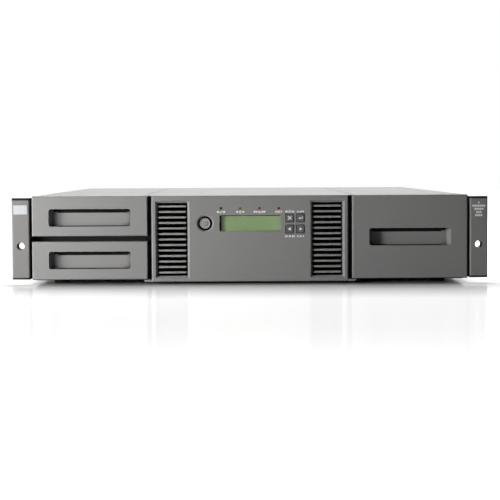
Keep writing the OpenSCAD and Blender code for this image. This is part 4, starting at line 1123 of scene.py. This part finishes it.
@dataclass(frozen=True)
class Studio:
    """Pale floor, white surround, soft lamps and the camera.

    The floor looks white (floor_white) but throws little light back (floor_bounce). Its painted glow
    grows over near_reach and far_reach from the case, so that the contact shadow stays.
    """

    floor_half: float = 6.0
    floor_white: float = 0.62
    floor_bounce: float = 0.08
    floor_gloss: float = 0.52
    floor_rough: float = 0.14
    # Painted glow of the floor: strength and reach near the case, then far from it.
    near_lift: float = 0.22
    near_reach: Point = (0.005, 0.035)
    far_lift: float = 0.45
    far_reach: Point = (0.03, 0.2)
    case_half: Point = (0.2188, 0.345)
    ear_half: float = 0.2413
    world_fill: float = 0.02
    front_gloss: float = 0.12
    gloss_turn: Point = (-0.1, 0.3)
    lens: float = 120.8
    eye: Place = (-0.014, -2.045, 0.117)
    yaw_deg: float = 0.47
    pitch_deg: float = -2.787
    roll_deg: float = 0.27
    clip_end: float = 40.0
    lamps: tuple[SoftLamp, ...] = (
        SoftLamp("key_lamp", (-0.58, -0.64, 0.09), (-0.25, -0.345, 0.05), (0.42, 0.22), 1.4, 85.0),
        SoftLamp("side_lamp", (-2.2, -1.8, 0.4), (0.1, -0.345, 0.045), (0.6, 0.4), 31.5),
        SoftLamp("top_lamp", (0.0, 1.2, 1.4), (0.0, 0.1, 0.09), (1.3, 1.3), 38.0),
    )

    def build(self) -> None:
        """Builds the stage, the lamps and the camera."""
        self._floor()
        self._world()
        for lamp in self.lamps:
            lamp.build()
        self._camera()
        bpy.context.scene.view_settings.view_transform = "Standard"

    def _floor(self) -> None:
        """Builds a pale floor that keeps the object's shadow and looks white beyond it."""
        work = bmesh.new()
        side = 2 * self.floor_half
        work.faces.new([work.verts.new((x, y, 0.0)) for x, y in bar(0.0, 0.0, side, side)[0]])
        mesh = bpy.data.meshes.new("floor")
        work.to_mesh(mesh)
        work.free()
        made = bpy.data.materials.new("pale_floor")
        made.use_nodes = True
        made.node_tree.nodes.clear()
        graph = Graph(made.node_tree)
        rays = graph.add("ShaderNodeLightPath").outputs
        mirrored = graph.maths("MAXIMUM", rays["Is Glossy Ray"], rays["Is Transmission Ray"])
        seen = graph.maths("MAXIMUM", rays["Is Camera Ray"], mirrored)
        greys = [(grey, grey, grey, 1.0) for grey in (self.floor_bounce, self.floor_white)]
        matt = graph.add("ShaderNodeBsdfDiffuse", {"Color": graph.blend(seen, *greys)})
        shine = graph.add("ShaderNodeBsdfGlossy", {"Color": WHITE, "Roughness": self.floor_rough})
        top = graph.add("ShaderNodeMixShader", {0: self.floor_gloss, 1: matt.outputs[0], 2: shine.outputs[0]})
        # painted glow: emission seen by the camera and in reflections, growing away from the case
        extra = graph.times(seen, self._lift(graph))
        lift = graph.add("ShaderNodeEmission", {"Color": WHITE, "Strength": extra})
        whole = graph.add("ShaderNodeAddShader", {0: top.outputs[0], 1: lift.outputs[0]})
        graph.add("ShaderNodeOutputMaterial", {"Surface": whole.outputs[0]})
        mesh.materials.append(made)
        link(bpy.data.objects.new("floor", mesh))

    def _lift(self, graph: Graph) -> Socket:
        """Makes the painted glow of the floor, which grows with the distance from the case.

        Args:
            graph: The floor's graph.

        Returns:
            The strength of the extra white.
        """
        axes = graph.axes(graph.place)
        across, along = (graph.maths("ABSOLUTE", axes[axis]) for axis in "XY")
        case_x, case_y = self.case_half
        beside = graph.maths("LESS_THAN", along, case_y)
        case_gain, ear_gain, end_gain = graph.times(beside, 6.0), 3.0, 1.0

        def past(value: Socket, half: float, gain: object) -> Socket:
            """Returns the square of how far value lies past half, times gain."""
            over = graph.times(graph.maths("MAXIMUM", graph.maths("SUBTRACT", value, half), 0.0), gain)
            return graph.times(over, over)

        ears = graph.plus(past(across, self.ear_half, ear_gain), past(along, case_y, end_gain))
        away = graph.maths("SQRT", graph.plus(past(across, case_x, case_gain), ears))
        return graph.plus(graph.ramp(away, *self.near_reach, (0.0, self.near_lift)),
                          graph.ramp(away, *self.far_reach, (0.0, self.far_lift)))

    def _world(self) -> None:
        """Sets a white surround, which reflections see darker on the camera's side."""
        world = bpy.data.worlds.new("surround")
        world.use_nodes = True
        bpy.context.scene.world = world
        world.node_tree.nodes.clear()
        graph = Graph(world.node_tree)
        rays = graph.add("ShaderNodeLightPath").outputs
        clear = graph.maths("MAXIMUM", rays["Is Camera Ray"], rays["Is Transmission Ray"])
        axes = graph.axes(graph.add("ShaderNodeTexCoord").outputs["Generated"])
        mirrored = graph.ramp(axes["Y"], *self.gloss_turn, (self.front_gloss, 1.0))
        dim = graph.plus(self.world_fill, graph.times(rays["Is Glossy Ray"], mirrored))
        strength = graph.maths("MINIMUM", 1.0, graph.plus(clear, dim))
        sky = graph.add("ShaderNodeBackground", {"Color": WHITE, "Strength": strength})
        graph.add("ShaderNodeOutputWorld", {"Surface": sky.outputs[0]})

    def _camera(self) -> None:
        """Sets the camera in front, a little above the case, turned by yaw, pitch and roll."""
        yaw, pitch, roll = (math.radians(v) for v in (self.yaw_deg, self.pitch_deg, self.roll_deg))
        ahead = Vector((math.sin(yaw) * math.cos(pitch), math.cos(yaw) * math.cos(pitch), math.sin(pitch)))
        side = Matrix.Rotation(roll, 3, ahead) @ ahead.cross(Vector((0.0, 0.0, 1.0))).normalized()
        turned = Matrix((side, side.cross(ahead), -ahead)).transposed().to_quaternion()
        lens = bpy.data.cameras.new("camera")
        lens.lens = self.lens
        lens.clip_end = self.clip_end
        camera = link(bpy.data.objects.new("camera", lens))
        camera.matrix_world = Matrix.LocRotScale(Vector(self.eye), turned, None)
        bpy.context.scene.camera = camera


def main() -> None:
    """Builds the stage and the sub-assemblies in order."""
    logging.basicConfig(level=logging.INFO, format="%(message)s")
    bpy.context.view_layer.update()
    Studio().build()
    for assembly in (CaseShell(), FrontPanels(), Console(), Magazines(), Picker(), RearBay()):
        assembly.dress()
        assembly.build()
        LOG.info("sub-assembly %s is done", type(assembly).__name__)


if __name__ == "__main__":
    main()
